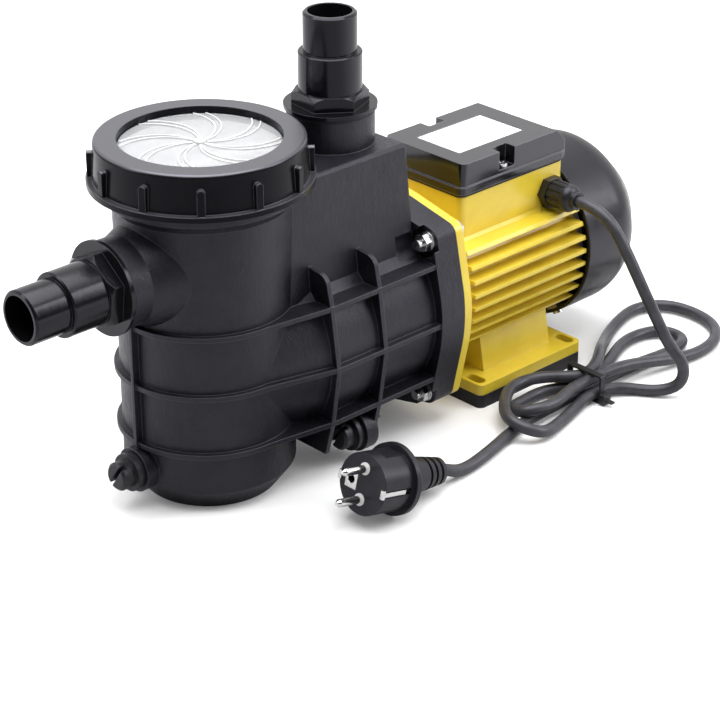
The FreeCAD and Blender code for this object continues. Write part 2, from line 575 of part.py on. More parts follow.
def hose_adapter(label, x, z, axis, spin):
    """A stepped hose tail with a hexagon, a seating flange and a threaded end; its tip is at (x, z)."""
    end = "adapter_flange+adapter_flange_thick"
    points = [("adapter_bore_r", "0"), ("tail_r-tail_lead", "0"), ("tail_r", "tail_lead"),
              ("tail_r", "tail_end"), ("step_r-0.8", "tail_end"), ("step_r", "tail_end+0.8"),
              ("step_r", "adapter_flange"), ("adapter_flange_r", "adapter_flange"),
              ("adapter_flange_r", end), ("thread_r", end), ("thread_r", end + "+thread_length-1"),
              ("thread_r-1", end + "+thread_length"), ("adapter_bore_r+1", end + "+thread_length"),
              ("adapter_bore_r", end + "+thread_length-6")]
    tail = turned_upright(points)
    nut = cut(hexagon("hex_across", "adapter_flange-hex_start", z="hex_start", spin=spin),
              rod("adapter_bore_r+2", "adapter_flange", z="hex_start-1"))
    chamfer = cone("hex_across/2+0.6", "hex_across/2+14.6", "14", z="hex_start")
    return name(label, put(group(join(tail, common(nut, chamfer))), x=x, z=z, axis=axis))


def drain_plug(label, face_x, y, z):
    """A slotted drain plug: knob, seating flange and shank along +X, seated on a boss face."""
    points = [(face_x + "-drain_seal-drain_flange-drain_knob", "0"),
              (face_x + "-drain_seal-drain_flange-drain_knob", "drain_knob_r-1.5"),
              (face_x + "-drain_seal-drain_flange-drain_knob+1.5", "drain_knob_r"),
              (face_x + "-drain_seal-drain_flange", "drain_knob_r"),
              (face_x + "-drain_seal-drain_flange", "drain_flange_r"),
              (face_x + "-drain_seal", "drain_flange_r"), (face_x + "-drain_seal", "drain_shank_r"),
              (face_x + "+drain_length-4", "drain_shank_r"), (face_x + "+drain_length-4", "0")]
    plug = turned_level(points, y=y, z=z)
    front = "(" + face_x + "-drain_seal-drain_flange-drain_knob)"
    slot = put(bind(doc.addObject("Part::Box", "slot"), Length="drain_slot_deep+1", Width="drain_slot",
                    Height="3*drain_knob_r"),
               x=front + "-1",
               y=y + "-1.5*drain_knob_r*sin(%d)-drain_slot/2*cos(%d)" % (-SLOT_TILT, SLOT_TILT),
               z=z + "-1.5*drain_knob_r*cos(%d)" % SLOT_TILT)
    slot.Placement = FreeCAD.Placement(slot.Placement.Base, FreeCAD.Rotation(FORWARD, SLOT_TILT))
    return name(label, cut(plug, slot))


def diffuser():
    """The suction tube and diffuser cup in front of the impeller, open at the top to the discharge box."""
    cup = turned_level([("suction_x", "suction_bore_r"), ("suction_x", "suction_r"),
                        ("diffuser_x", "suction_r"), ("diffuser_x", "diffuser_r"),
                        ("plate_x-0.05", "diffuser_r"),
                        ("plate_x-0.05", "diffuser_r-diffuser_wall"),
                        ("diffuser_x+diffuser_wall", "diffuser_r-diffuser_wall"),
                        ("diffuser_x+diffuser_wall", "suction_bore_r")])
    mouth = block("diffuser_x+diffuser_wall+2", "plate_x-6", "-22", "22", "shaft_z+30", "shaft_z+60")
    return name("diffuser", cut(cup, mouth))


def impeller():
    """A closed impeller: eye, front and back shrouds, swept vanes and a hub that screws to the shaft."""
    front = turned_level([("impeller_x-5", "eye_r-2"), ("impeller_x-5", "eye_r"), ("impeller_x", "eye_r"),
                          ("impeller_x+4", "impeller_r"), ("impeller_x+4+shroud", "impeller_r"),
                          ("impeller_x+shroud", "eye_r-2")])
    back = turned_level([("impeller_back_x-shroud", "shaft_thread_r+0.2"),
                         ("impeller_back_x-shroud", "impeller_r"),
                         ("impeller_back_x", "impeller_r"), ("impeller_back_x", "impeller_hub_r"),
                         ("impeller_hub_end_x", "impeller_hub_r"),
                         ("impeller_hub_end_x", "shaft_thread_r+0.2")])
    vanes = []
    for step in range(VANES):
        angle = math.radians(step * FULL_TURN / VANES)
        place = {"x": "impeller_x+shroud-2", "y": "vane_r*0.8*%.4f" % math.cos(angle),
                 "z": "shaft_z+vane_r*0.8*%.4f" % math.sin(angle), "axis": FORWARD,
                 "spin": math.degrees(angle) - 60.0}
        long = "impeller_back_x-impeller_x-shroud+1"
        outer = rod("vane_r", long, **place)
        inner = rod("vane_r-vane_thick", long, **place)
        outer.Angle = VANE_SWEEP
        inner.Angle = VANE_SWEEP
        vanes.append(cut(outer, inner))
    inner_limit = ring_shape("impeller_hub_r+2", "impeller_r-0.5", "impeller_back_x-impeller_x-3",
                             x="impeller_x+2.5", z="shaft_z", axis=FORWARD)
    return name("impeller", join(front, back, common(join(*vanes), inner_limit)))


def seal_plate():
    """The back plate of the wet end, with the stationary seal's pocket and a lip clamped in the joint."""
    return name("seal_plate", turned_level([
        ("plate_x", "seat_r+0.05"), ("plate_x", "plate_r"), ("joint_x-plate_lip", "plate_r"),
        ("joint_x-plate_lip", "plate_lip_r"), ("joint_x-0.1", "plate_lip_r"),
        ("joint_x-0.1", "plate_r-4"), ("plate_x+plate_web", "plate_r-4"),
        ("plate_x+plate_web", "plate_hub_r"), ("plate_hub_end_x", "plate_hub_r"),
        ("plate_hub_end_x", "seat_bore_r"), ("plate_hub_end_x-3", "seat_bore_r"),
        ("plate_hub_end_x-3", "seat_r+0.05")]))


def shaft():
    """The rotor shaft, stepped for the impeller, the seal, both bearings, the rotor core and the fan."""
    steps = (("shaft_tip_x", "shaft_thread_r"), ("impeller_hub_end_x", "shaft_wet_r"),
             ("bearing_front_x-1", "shaft_r"), ("bearing_front_x+bearing_wide", "shaft_mid_r"),
             ("bearing_rear_x", "shaft_r"), ("bearing_rear_x+bearing_wide+1", "fan_seat_r"),
             ("shaft_end_x", "0"))
    points = [("shaft_tip_x", "0")]
    for (start, r), (end, _) in zip(steps, steps[1:]):
        points += [(start, r), (end, r)]
    return name("motor_shaft", turned_level(points + [("shaft_end_x", "0")]))


def bearing_rings(prefix, x):
    """A ball bearing's outer and inner rings, each a node of its own."""
    for label, r_in, r_out in (("outer_ring", "race_out_r", "bearing_out_r"),
                               ("inner_ring", "shaft_r", "race_in_r")):
        ring = ring_shape(r_in, r_out, "bearing_wide", x=x, z="shaft_z", axis=FORWARD)
        groove = put(bind(doc.addObject("Part::Torus", "groove"), Radius1="bearing_pitch_r",
                          Radius2="race_groove_r"), x=x + "+bearing_wide/2", z="shaft_z", axis=FORWARD)
        name(prefix + "_" + label, cut(ring, groove))


def bearing_balls():
    """The ball sets of both bearings and the cages that space them."""
    balls = []
    cages = []
    for x in ("bearing_front_x", "bearing_rear_x"):
        middle = x + "+bearing_wide/2"
        pockets = []
        for step in range(BALLS):
            angle = math.radians(step * FULL_TURN / BALLS)
            spot = {"x": middle, "y": "bearing_pitch_r*%.5f" % math.cos(angle),
                    "z": "shaft_z+bearing_pitch_r*%.5f" % math.sin(angle)}
            for r, kept in (("ball_r", balls), ("ball_r+0.05", pockets)):
                kept.append(put(bind(doc.addObject("Part::Sphere", "ball"), Radius=r), **spot))
        cage = ring_shape("bearing_pitch_r-cage_thick", "bearing_pitch_r+cage_thick", "cage_wide",
                          x=middle + "-cage_wide/2", z="shaft_z", axis=FORWARD)
        cages.append(cut(cage, *pockets))
    name("bearing_balls", group(*balls))
    name("bearing_cages", group(*cages))


def front_shield():
    """The motor's front end shield: the bolted face, a spigot for the housing and the bearing seat."""
    face = bulged_square("joint_x", "shield_thick")
    back = "joint_x+shield_thick"
    spigot = turned_level([(back + "-0.5", "shield_spigot_r-5"), (back + "-0.5", "shield_spigot_r"),
                           (back + "+10", "shield_spigot_r"), (back + "+10", "shield_spigot_r-4"),
                           (back + "+shield_web", "shield_spigot_r-4"),
                           (back + "+shield_web", "shield_hub_r"),
                           ("shield_hub_end_x", "shield_hub_r"), ("shield_hub_end_x", "shaft_r"),
                           (back + "-0.5", "shaft_r")])
    bearing = rod("bearing_out_r", "30", x="bearing_front_x", z="shaft_z", axis=FORWARD)
    passage = rod("shaft_r+1.5", "30", x="joint_x-1", z="shaft_z", axis=FORWARD)
    holes = at_bolts(lambda y, z: rod("bolt_r+bolt_clear", "30", x="joint_x-10", y=y, z=z, axis=FORWARD))
    rods = at_rods(lambda y, z: rod("rod_r", "20", x="joint_x+3", y=y, z=z, axis=FORWARD))
    return name("motor_front_shield", cut(join(face, spigot), bearing, passage, *holes, *rods))


def at_rods(make):
    """One item on each of the four tie rods that run through the stator, from (y, z) expressions."""
    corners = ((-1, -1), (-1, 1), (1, -1), (1, 1))
    return [make("%d*rod_ring_r*sqrt(0.5)" % side, "shaft_z+%d*rod_ring_r*sqrt(0.5)" % rise)
            for side, rise in corners]


def motor_housing():
    """The cast motor housing: finned barrel, terminal box base, saddle and slotted foot plate."""
    barrel = rod("housing_r", "housing_end_x-housing_x", x="housing_x", z="shaft_z", axis=FORWARD)
    levels = [block("fin_start_x", "fin_end_x", "-fin_tip_r", "fin_tip_r",
                    "fin_top_z-%d*fin_pitch-fin_thick/2" % step, "fin_top_z-%d*fin_pitch+fin_thick/2" % step)
              for step in range(FINS)]
    fins = common(join(*levels), rod("fin_tip_r", "200", x="-100", z="shaft_z", axis=FORWARD))
    base = block("term_left_x", "term_right_x", "-term_half_y", "term_half_y", "term_low_z", "term_rim_z")
    base = soften(base, "term_round", upright_edge)
    foot = block("-foot_half_x", "foot_half_x", "-foot_half_y", "foot_half_y", "pad_thick",
                 "pad_thick+foot_thick")
    foot = soften(foot, "foot_round", upright_edge)
    saddle = plate("YZ_Plane", [("-saddle_low_y", "pad_thick+foot_thick-1"),
                                ("saddle_low_y", "pad_thick+foot_thick-1"),
                                ("saddle_top_y", "saddle_top_z"), ("-saddle_top_y", "saddle_top_z")],
                   "2*saddle_half_x", x="-saddle_half_x")
    web = block("-web_half_x", "web_half_x", "-web_half_y", "web_half_y", "pad_thick+1", "saddle_top_z-8")
    bore = rod("housing_bore_r", "200", x="-100", z="shaft_z", axis=FORWARD)
    box_inside = block("term_left_x+term_wall", "term_right_x-term_wall", "-term_half_y+term_wall",
                       "term_half_y-term_wall", "term_floor_z", "term_rim_z+5")
    wire_hole = rod("7", "30", x="0", y="0", z="term_floor_z-15")
    gland_hole = rod("gland_thread_r+0.1", "20", x="gland_x", y="-term_half_y+10", z="gland_z",
                     axis=FreeCAD.Vector(0, -1, 0))
    gland_room = block("gland_x-11", "gland_x+10.9", "-term_half_y+term_wall", "-term_half_y+term_wall+14",
                       "gland_z-10", "term_floor_z+1")
    hollow = block("-saddle_half_x+4", "saddle_half_x-4", "-saddle_top_y+6", "saddle_top_y-6", "pad_thick-1",
                   "30")
    pillars = [block("cover_screw_x-pillar_half", "cover_screw_x+pillar_half", low_y, high_y,
                     "term_floor_z-1", "term_rim_z")
               for low_y, high_y in (("-term_half_y+1", "-term_half_y+pillar_deep"),
                                     ("term_half_y-pillar_deep", "term_half_y-1"))]
    screw_holes = cover_screw_rods("screw_r+0.02", "term_rim_z-term_floor_z", "term_floor_z+1")
    shell = cut(join(barrel, fins, base, foot, saddle, web), box_inside)
    return name("motor_housing", cut(join(shell, *pillars), bore, wire_hole, gland_hole, gland_room, hollow,
                                     *foot_slots("pad_thick-1", "20"), *screw_holes))


def foot_slots(low, deep):
    """The four mounting slots, each long across the shaft."""
    slots = []
    for end in (-1, 1):
        for side in (-1, 1):
            x = "%d*slot_x" % end
            y = "%d*slot_y" % side
            half = "(slot_long-slot_wide)/2"
            slots.append(rod("slot_wide/2", deep, x=x, y=y + "-" + half, z=low))
            slots.append(rod("slot_wide/2", deep, x=x, y=y + "+" + half, z=low))
            slots.append(block(x + "-slot_wide/2", x + "+slot_wide/2", y + "-" + half, y + "+" + half, low,
                               low + "+" + deep))
    return slots


def foot_pad():
    """The rubber pad under the foot plate."""
    pad = block("-foot_half_x", "foot_half_x", "-foot_half_y", "foot_half_y", "0", "pad_thick")
    return name("foot_pad", cut(soften(pad, "foot_round", upright_edge), *foot_slots("-1", "pad_thick+2")))


def stator():
    """The stator's laminated core and the two wound ends that stand out of it."""
    core = rod("core_r", "2*core_half", x="-core_half", z="shaft_z", axis=FORWARD)
    bore = rod("core_bore_r", "2*core_half", x="-core_half", z="shaft_z", axis=FORWARD)
    holes = at_rods(lambda y, z: rod("rod_hole_r", "2*core_half", x="-core_half", y=y, z=z, axis=FORWARD))
    name("stator_core", cut(core, bore, *holes))
    ends = []
    for start, end in (("-winding_end", "-core_half"), ("core_half", "winding_end")):
        ends.append(turned_level([(start, "winding_in_r+1.5"), (start + "+1.5", "winding_in_r"),
                                  (end, "winding_in_r"), (end, "winding_out_r"),
                                  (start + "+1.5", "winding_out_r"), (start, "winding_out_r-1.5")]))
    return name("stator_windings", group(*ends))


def rotor_core():
    """The cast squirrel-cage rotor with its end rings."""
    return name("rotor_core", turned_level([
        ("-core_half-5", "shaft_mid_r"), ("-core_half-5", "shaft_mid_r+9"), ("-core_half", "shaft_mid_r+9"),
        ("-core_half", "rotor_r"), ("core_half", "rotor_r"), ("core_half", "shaft_mid_r+9"),
        ("core_half+5", "shaft_mid_r+9"), ("core_half+5", "shaft_mid_r")]))


def rear_shield():
    """The rear end shield that closes the barrel and seats the rear bearing."""
    shield = turned_level([
        ("housing_end_x-6", "shield_spigot_r-4"), ("housing_end_x-6", "shield_spigot_r"),
        ("housing_end_x", "shield_spigot_r"), ("housing_end_x", "housing_r+2"),
        ("housing_end_x+4", "housing_r+2"), ("rear_shield_end_x", "shield_hub_r"),
        ("rear_shield_end_x", "shaft_r+1.5"), ("bearing_rear_x+bearing_wide+0.6", "shaft_r+1.5"),
        ("bearing_rear_x+bearing_wide+0.6", "bearing_out_r"), ("bearing_rear_x-1", "bearing_out_r"),
        ("bearing_rear_x-1", "shield_hub_r"), ("housing_end_x", "shield_hub_r+2"),
        ("housing_end_x", "shield_spigot_r-4")])
    rods = at_rods(lambda y, z: rod("rod_hole_r", "30", x="housing_end_x-10", y=y, z=z, axis=FORWARD))
    nuts = at_rods(lambda y, z: rod("5", "20", x="housing_end_x+4", y=y, z=z, axis=FORWARD))
    reach = "fan_cover_r-fan_cover_wall-lug_gap"
    lugs = [lug("lug_low_r", reach, "lug_wide", "lug_x", "lug_x+lug_long", angle)
            for angle in COVER_SCREW_ANGLES + (COVER_LUG_ANGLE,)]
    lugs = common(join(*lugs), rod(reach, "40", x="housing_end_x", z="shaft_z", axis=FORWARD))
    screws = at_cover_screws("screw_r+0.02", "lug_low_r+3", "fan_cover_r")
    return name("motor_rear_shield", cut(join(shield, lugs), *rods, *nuts, *screws))


def lug(r_in, r_out, wide, x_low, x_high, angle):
    """A bar that stands out from the shaft axis at an angle measured from +Y towards +Z."""
    bar = doc.addObject("Part::Box", "lug")
    bind(bar, Length="(%s)-(%s)" % (x_high, x_low), Width="(%s)-(%s)" % (r_out, r_in), Height=wide)
    put(bar, x=x_low, y="(%s)*cos(%s)+(%s)/2*sin(%s)" % (r_in, angle, wide, angle),
        z="shaft_z+(%s)*sin(%s)-(%s)/2*cos(%s)" % (r_in, angle, wide, angle))
    bar.Placement = FreeCAD.Placement(bar.Placement.Base, FreeCAD.Rotation(FORWARD, angle))
    return bar


def at_cover_screws(r, r_start, r_end):
    """A radial rod at each of the fan cover's screws."""
    rods = []
    for angle in COVER_SCREW_ANGLES:
        across = math.cos(math.radians(angle))
        up = math.sin(math.radians(angle))
        rods.append(rod(r, "(%s)-(%s)" % (r_end, r_start), x="lug_x+lug_long/2",
                        y="(%s)*%.5f" % (r_start, across), z="shaft_z+(%s)*%.5f" % (r_start, up),
                        axis=FreeCAD.Vector(0, across, up)))
    return rods


def tie_rods():
    """Four rods through the stator that draw the two end shields together, with their nuts."""
    rods = at_rods(lambda y, z: rod("rod_r", "housing_end_x+10-joint_x-3", x="joint_x+3", y=y, z=z,
                                    axis=FORWARD))
    nuts = at_rods(lambda y, z: hexagon("7", "3", x="housing_end_x+4", y=y, z=z, axis=FORWARD))
    return name("motor_tie_rods", group(*[join(stud, nut) for stud, nut in zip(rods, nuts)]))


def cooling_fan():
    """The radial fan on the rear end of the shaft."""
    hub = turned_level([("fan_x", "fan_seat_r"), ("fan_x", "fan_r-8"), ("fan_x+fan_thick", "fan_r-8"),
                        ("fan_x+fan_thick", "fan_hub_r"), ("fan_x+fan_depth", "fan_hub_r-1"),
                        ("fan_x+fan_depth", "fan_seat_r")])
    blades = []
    for step in range(FAN_BLADES):
        angle = step * FULL_TURN / FAN_BLADES
        blade = bind(doc.addObject("Part::Box", "blade"), Length="fan_depth", Width="fan_r-(fan_hub_r-2)",
                     Height="fan_thick")
        put(blade, x="fan_x", y="(fan_hub_r-2)*cos(%s)+fan_thick/2*sin(%s)" % (angle, angle),
            z="shaft_z+(fan_hub_r-2)*sin(%s)-fan_thick/2*cos(%s)" % (angle, angle))
        blade.Placement = FreeCAD.Placement(blade.Placement.Base, FreeCAD.Rotation(FORWARD, angle))
        blades.append(blade)
    return name("cooling_fan", join(hub, *blades))


def cowl(inset, start_x):
    """The solid form of the fan cover, drawn in by an inset from its outer surface."""
    form = turned_level([(start_x, "0"), (start_x, "fan_cover_r-" + inset),
                         ("fan_cover_bend_x", "fan_cover_r-" + inset),
                         ("fan_cover_end_x-" + inset, "fan_cover_end_r-0.4*" + inset),
                         ("fan_cover_end_x-" + inset, "0")])
    doc.recompute()
    rounded = doc.addObject("Part::Fillet", "soften")
    rounded.Base = form
    edges = []
    for number, edge in enumerate(form.Shape.Edges, start=1):
        if len(edge.Vertexes) > 1 or edge.CenterOfMass.x < size("fan_cover_bend_x") - 1:
            continue
        at_bend = edge.CenterOfMass.x < size("fan_cover_bend_x") + 1
        r = size("bend_round" if at_bend else "end_round") - worth(inset)
        edges.append((number, r, r))
    rounded.Edges = edges
    return rounded


def fan_cover():
    """The moulded cowl over the fan, with a slotted rear grille and seats for its screws."""
    slots = []
    for step in range(-GRILLE_SLOTS, GRILLE_SLOTS + 1):
        level = "shaft_z+%d*2*grille_bar" % step
        half = 0.9 * math.sqrt(max(1.0, size("fan_cover_end_r") ** 2 - (step * 2 * size("grille_bar")) ** 2))
        for low, high in ((-half, -1.5), (1.5, half)):
            slots.append(block("fan_cover_end_x-8", "fan_cover_end_x+5", "%.2f" % low, "%.2f" % high,
                               level + "-grille_bar/2", level + "+grille_bar/2"))
    holes = at_cover_screws("screw_r+0.2", "lug_low_r", "fan_cover_r+5")
    seats = at_cover_screws("screw_head_r+0.2", "fan_cover_r-cover_seat", "fan_cover_r+5")
    shell = cut(cowl("0", "fan_cover_x"), cowl("fan_cover_wall", "fan_cover_x-1"))
    return name("fan_cover", cut(shell, *slots, *holes, *seats))


def fan_cover_screws():
    """The screws that hold the fan cover to the lugs of the rear shield from below."""
    shanks = at_cover_screws("screw_r", "lug_low_r+5", "fan_cover_r-cover_seat")
    heads = at_cover_screws("screw_head_r", "fan_cover_r-cover_seat", "fan_cover_r-cover_seat+screw_head")
    return name("fan_cover_screws", group(*[join(shank, head) for shank, head in zip(shanks, heads)]))


def terminal_cover():
    """The cover of the terminal box: a lipped shell with a sloped end and two screw notches."""
    low = "term_rim_z+term_gasket"
    lip = block("term_left_x-cover_proud", "term_right_x+cover_proud", "-term_half_y-cover_proud",
                "term_half_y+cover_proud", low, low + "+cover_lip")
    lip = soften(lip, "term_round", upright_edge)
    top = plate("XZ_Plane", [("term_left_x", low), ("term_right_x", low),
                             ("term_right_x", "cover_top_z-cover_slope"),
                             ("term_right_x-cover_slope", "cover_top_z"), ("term_left_x+1.5", "cover_top_z")],
                "2*term_half_y", y="term_half_y")
    top = soften(top, "cover_round", lambda edge: edge.CenterOfMass.x < size("term_left_x") + 1
                 and abs(edge.tangentAt(edge.FirstParameter).y) < 0.1)
    inside = block("term_left_x+cover_wall", "term_right_x-cover_slope-cover_wall/2",
                   "-term_half_y+cover_wall", "term_half_y-cover_wall", low + "-1", "cover_top_z-cover_wall")
    recess = block("label_x", "label_x+label_wide", "-label_deep/2", "label_deep/2",
                   "cover_top_z-label_sink", "cover_top_z+5")
    notches = [block("cover_screw_x-notch_wide/2", "cover_screw_x+notch_wide/2", low_y, high_y,
                     "notch_floor_z", "cover_top_z+5")
               for low_y, high_y in (("-term_half_y-5", "-term_half_y+notch_deep"),
                                     ("term_half_y-notch_deep", "term_half_y+5"))]
    towers = [block("cover_screw_x-notch_wide/2-cover_wall", "cover_screw_x+notch_wide/2+cover_wall", low_y,
                    high_y, low, "cover_top_z-cover_wall/2")
              for low_y, high_y in (("-term_half_y+0.5", "-term_half_y+notch_deep+cover_wall"),
                                    ("term_half_y-notch_deep-cover_wall", "term_half_y-0.5"))]
    holes = cover_screw_rods("screw_r+0.2", "50", "term_rim_z-5")
    shell = join(cut(join(lip, top), inside), *towers)
    return name("terminal_cover", cut(shell, recess, *notches, *holes))


def cover_screw_rods(r, long, z):
    """A cylinder on each of the two cover screws."""
    return [rod(r, long, x="cover_screw_x", y="%d*(term_half_y-notch_deep/2)" % side, z=z)
            for side in (-1, 1)]


def terminal_box_contents():
    """What the terminal box holds: gasket, screws, terminal block, run capacitor and the blank label."""
    outer = block("term_left_x", "term_right_x", "-term_half_y", "term_half_y", "term_rim_z",
                  "term_rim_z+term_gasket")
    inner = block("term_left_x+term_wall", "term_right_x-term_wall", "-term_half_y+term_wall",
                  "term_half_y-term_wall", "term_rim_z-1", "term_rim_z+term_gasket+1")
    tabs = [block("cover_screw_x-4", "cover_screw_x+4", low_y, high_y, "term_rim_z",
                  "term_rim_z+term_gasket")
            for low_y, high_y in (("-term_half_y+1", "-term_half_y+8"), ("term_half_y-8", "term_half_y-1"))]
    name("terminal_gasket", cut(join(cut(soften(outer, "term_round", upright_edge), inner), *tabs),
                                *cover_screw_rods("screw_r+0.2", "20", "term_rim_z-5")))
    shanks = cover_screw_rods("screw_r", "notch_floor_z-term_rim_z+8", "term_rim_z-8")
    heads = cover_screw_rods("screw_head_r", "screw_head", "notch_floor_z")
    crosses = []
    for side in (-1, 1):
        y = "%d*(term_half_y-notch_deep/2)" % side
        for long, wide in (("4", "0.9"), ("0.9", "4")):
            crosses.append(block("cover_screw_x-%s/2" % long, "cover_screw_x+%s/2" % long,
                                 y + "-%s/2" % wide, y + "+%s/2" % wide, "notch_floor_z+1.2",
                                 "notch_floor_z+4"))
    name("terminal_cover_screws", group(*[cut(join(shank, head), *crosses[2 * i:2 * i + 2])
                                          for i, (shank, head) in enumerate(zip(shanks, heads))]))
    name("rating_label", block("label_x+0.4", "label_x+label_wide-0.4", "-label_deep/2+0.4",
                               "label_deep/2-0.4", "cover_top_z-label_sink", "cover_top_z-0.4"))
    name("run_capacitor", rod("capacitor_r", "capacitor_long", x="term_left_x+term_wall+4", y="8",
                              z="term_floor_z+capacitor_r+0.3", axis=FORWARD))
    strip = block("term_left_x+8", "term_left_x+8+strip_long", "strip_low_y", "strip_low_y+strip_wide",
                  "term_floor_z", "term_floor_z+strip_tall")
    screws = [rod("screw_r", "4", x="term_left_x+12+%d*strip_pitch" % step, y=y,
                  z="term_floor_z+strip_tall-1.5")
              for step in range(STRIP_POLES) for y in ("strip_low_y+3", "strip_low_y+strip_wide-3")]
    return name("terminal_block", cut(strip, *screws))


def cable_gland():
    """The gland that leads the mains cable into the terminal box, with its locknut."""
    out = FreeCAD.Vector(0, -1, 0)
    wall = "-term_half_y"
    hole = rod("cable_r+0.2", "80", x="gland_x", y="-term_half_y+20", z="gland_z", axis=out)
    nut = hexagon("gland_hex", "gland_nut", x="gland_x", y=wall, z="gland_z", axis=out)
    name("gland_nut", cut(nut, rod("gland_thread_r+0.1", "gland_nut+2", x="gland_x", y=wall + "+1",
                                   z="gland_z", axis=out)))
    thread = rod("gland_thread_r", "gland_nut+8", x="gland_x", y=wall + "+8", z="gland_z", axis=out)
    front = wall + "-gland_nut"
    dome = rod("gland_r", "gland_dome-3", x="gland_x", y=front, z="gland_z", axis=out)
    dome = soften(dome, "gland_round", lambda edge: len(edge.Vertexes) == 1
                  and edge.CenterOfMass.y < worth(front) - 1)
    sleeve = rod("cable_r+2", "4", x="gland_x", y=front + "-gland_dome+4", z="gland_z", axis=out)
    grips = []
    for step in range(GLAND_GRIPS):
        out_way = radial(step * FULL_TURN / GLAND_GRIPS)
        grips.append(rod("grip_r", "gland_dome-8", x="gland_x+(gland_r+0.4*grip_r)*%.4f" % out_way.x,
                         y=front + "+1", z="gland_z+(gland_r+0.4*grip_r)*%.4f" % out_way.y, axis=out))
    return name("cable_gland", cut(join(thread, dome, sleeve), hole, *grips))


def cable_route():
    """The mains lead's centreline: down from the gland, five times through the tie, then to the plug."""
    low = size("cable_low_z")
    high = low + size("cable_lift")
    floor = size("cable_r") + 0.75
    tie_x = size("tie_x")
    gland = FreeCAD.Vector(size("gland_x"), -size("term_half_y") + 2, size("gland_z"))
    drop = [gland + FreeCAD.Vector(0, -behind, 0) for behind in (0, 9, 18, 26, 33)] + [
            (35, -74, 118), (35, -84, 114.5),
            (36, -97, 101), (40, -112, 74), (46, -121, 52), (52, -129, 34), (56.5, -134.6, 22),
            (55.5, -133.6, 11), (49, -125.5, 5), (33, -106, floor)]
    outer_left = [(tie_x, -99, low), (-10, -103, floor), (-36, -110, floor), (-54, -111, 8), (-62, -99, 12.5),
                  (-50, -80, 13.5), (-26, -67, 13.5), (-4, -74, high)]
    outer_right = [(tie_x, -87, high), (34, -82, high), (52, -70, 12.5), (68, -59, 8), (88, -47, floor),
                   (112, -38, floor), (132, -36, floor), (148, -46, floor), (153, -65, floor),
                   (147, -88, floor), (131, -102, floor), (104, -106, floor), (74, -101, 8), (45, -96, 12.5)]
    inner_left = [(tie_x, -95, high), (-8, -96.5, high), (-30, -99.5, 13), (-46, -91.5, 11.5),
                  (-42.5, -79, 7), (-29, -74, floor), (-8, -74, floor)]
    inner_right = [(tie_x, -83, low), (34, -80, floor), (54, -75, floor), (76, -66, floor), (100, -63, floor),
                   (116, -72, floor), (116, -86, floor), (98, -93, floor), (70, -90.5, floor),
                   (42, -89.5, floor)]
    lead = [(tie_x, -91, low), (-12, -91, floor), (-42, -93, floor), (-70, -99, floor), (-96, -105.5, floor)]
    plug_end = size("plug_long") + size("boot_long")
    lead += [plug_point(plug_end + 16, rise=-2)]
    lead += [plug_point(plug_end + behind) for behind in (4, -2, -7, -12)]
    return [FreeCAD.Vector(point) for point in
            drop + outer_left + outer_right + inner_left + inner_right + lead]


def plug_axes():
    """The plug's own directions: along its tilted pins, across them and up."""
    tilt = math.radians(size("plug_tilt"))
    along = FreeCAD.Vector(-math.cos(tilt), 0, math.sin(tilt))
    return along, SIDEWAYS, SIDEWAYS.cross(along)


def plug_point(behind, side=0.0, rise=0.0):
    """A point in the plug's own frame: behind its face, to one side and above its axis."""
    along, across, up = plug_axes()
    face = FreeCAD.Vector(size("plug_x"), size("plug_y"), size("plug_z"))
    return face - along * behind + across * side + up * rise


def feature(label, shape):
    """A sub-part whose shape is made in code from the sheet's sizes."""
    item = doc.addObject("Part::Feature", "made")
    item.Shape = shape
    return name(label, item)


def power_cable():
    """The round mains lead, swept along its centreline."""
    route = cable_route()
    curve = Part.BSplineCurve()
    curve.interpolate(route)
    knots = curve.getKnots()
    spine = Part.Wire([curve.toShape(low, high) for low, high in zip(knots, knots[1:])])
    start = curve.tangent(curve.FirstParameter)[0]
    section = Part.Wire([Part.makeCircle(size("cable_r"), route[0], start)])
    shape = spine.makePipeShell([section], True, False)
    return feature("power_cable", shape)


def cable_tie():
    """The tie round the five strands, with its locking head."""
    x = "tie_x"
    outer = block(x + "-tie_wide/2", x + "+tie_wide/2", "tie_y-tie_half", "tie_y+tie_half", "0.2",
                  "tie_top_z+tie_thick")
    inner = block(x + "-tie_wide", x + "+tie_wide", "tie_y-tie_half+tie_thick", "tie_y+tie_half-tie_thick",
                  "0.2+tie_thick", "tie_top_z")

    band = cut(soften(outer, "tie_round", lengthwise), soften(inner, "tie_round", lengthwise))
    head = block(x + "-3.2", x + "+3.2", "tie_y-tie_half-4", "tie_y-tie_half+0.5", "1", "7.5")
    tail = block(x + "-1.6", x + "+1.6", "tie_y-tie_half-9", "tie_y-tie_half-3.5", "3", "4.2")
    return name("cable_tie", join(band, head, tail))


def plug_rod(r, long, behind, side=0.0, rise=0.0, end_r=None):
    """A rod, or a cone when it has an end radius, that grows backwards from a point of the plug."""
    back = plug_axes()[0] * -1.0
    base = plug_point(behind, side, rise)
    if end_r is None:
        return Part.makeCylinder(r, long, base, back)
    return Part.makeCone(r, end_r, long, base, back)


def plug_slab(behind, side, rise, deep, wide, tall):
    """A bar in the plug's own frame: deep along its axis, centred on a side and a rise."""
    along, across, up = plug_axes()
    bar = Part.makeBox(deep, wide, tall)
    corner = plug_point(behind, side - wide / 2, rise - tall / 2)
    bar.Placement = FreeCAD.Placement(corner, FreeCAD.Rotation(along * -1.0, across, up, "XYZ"))
    return bar


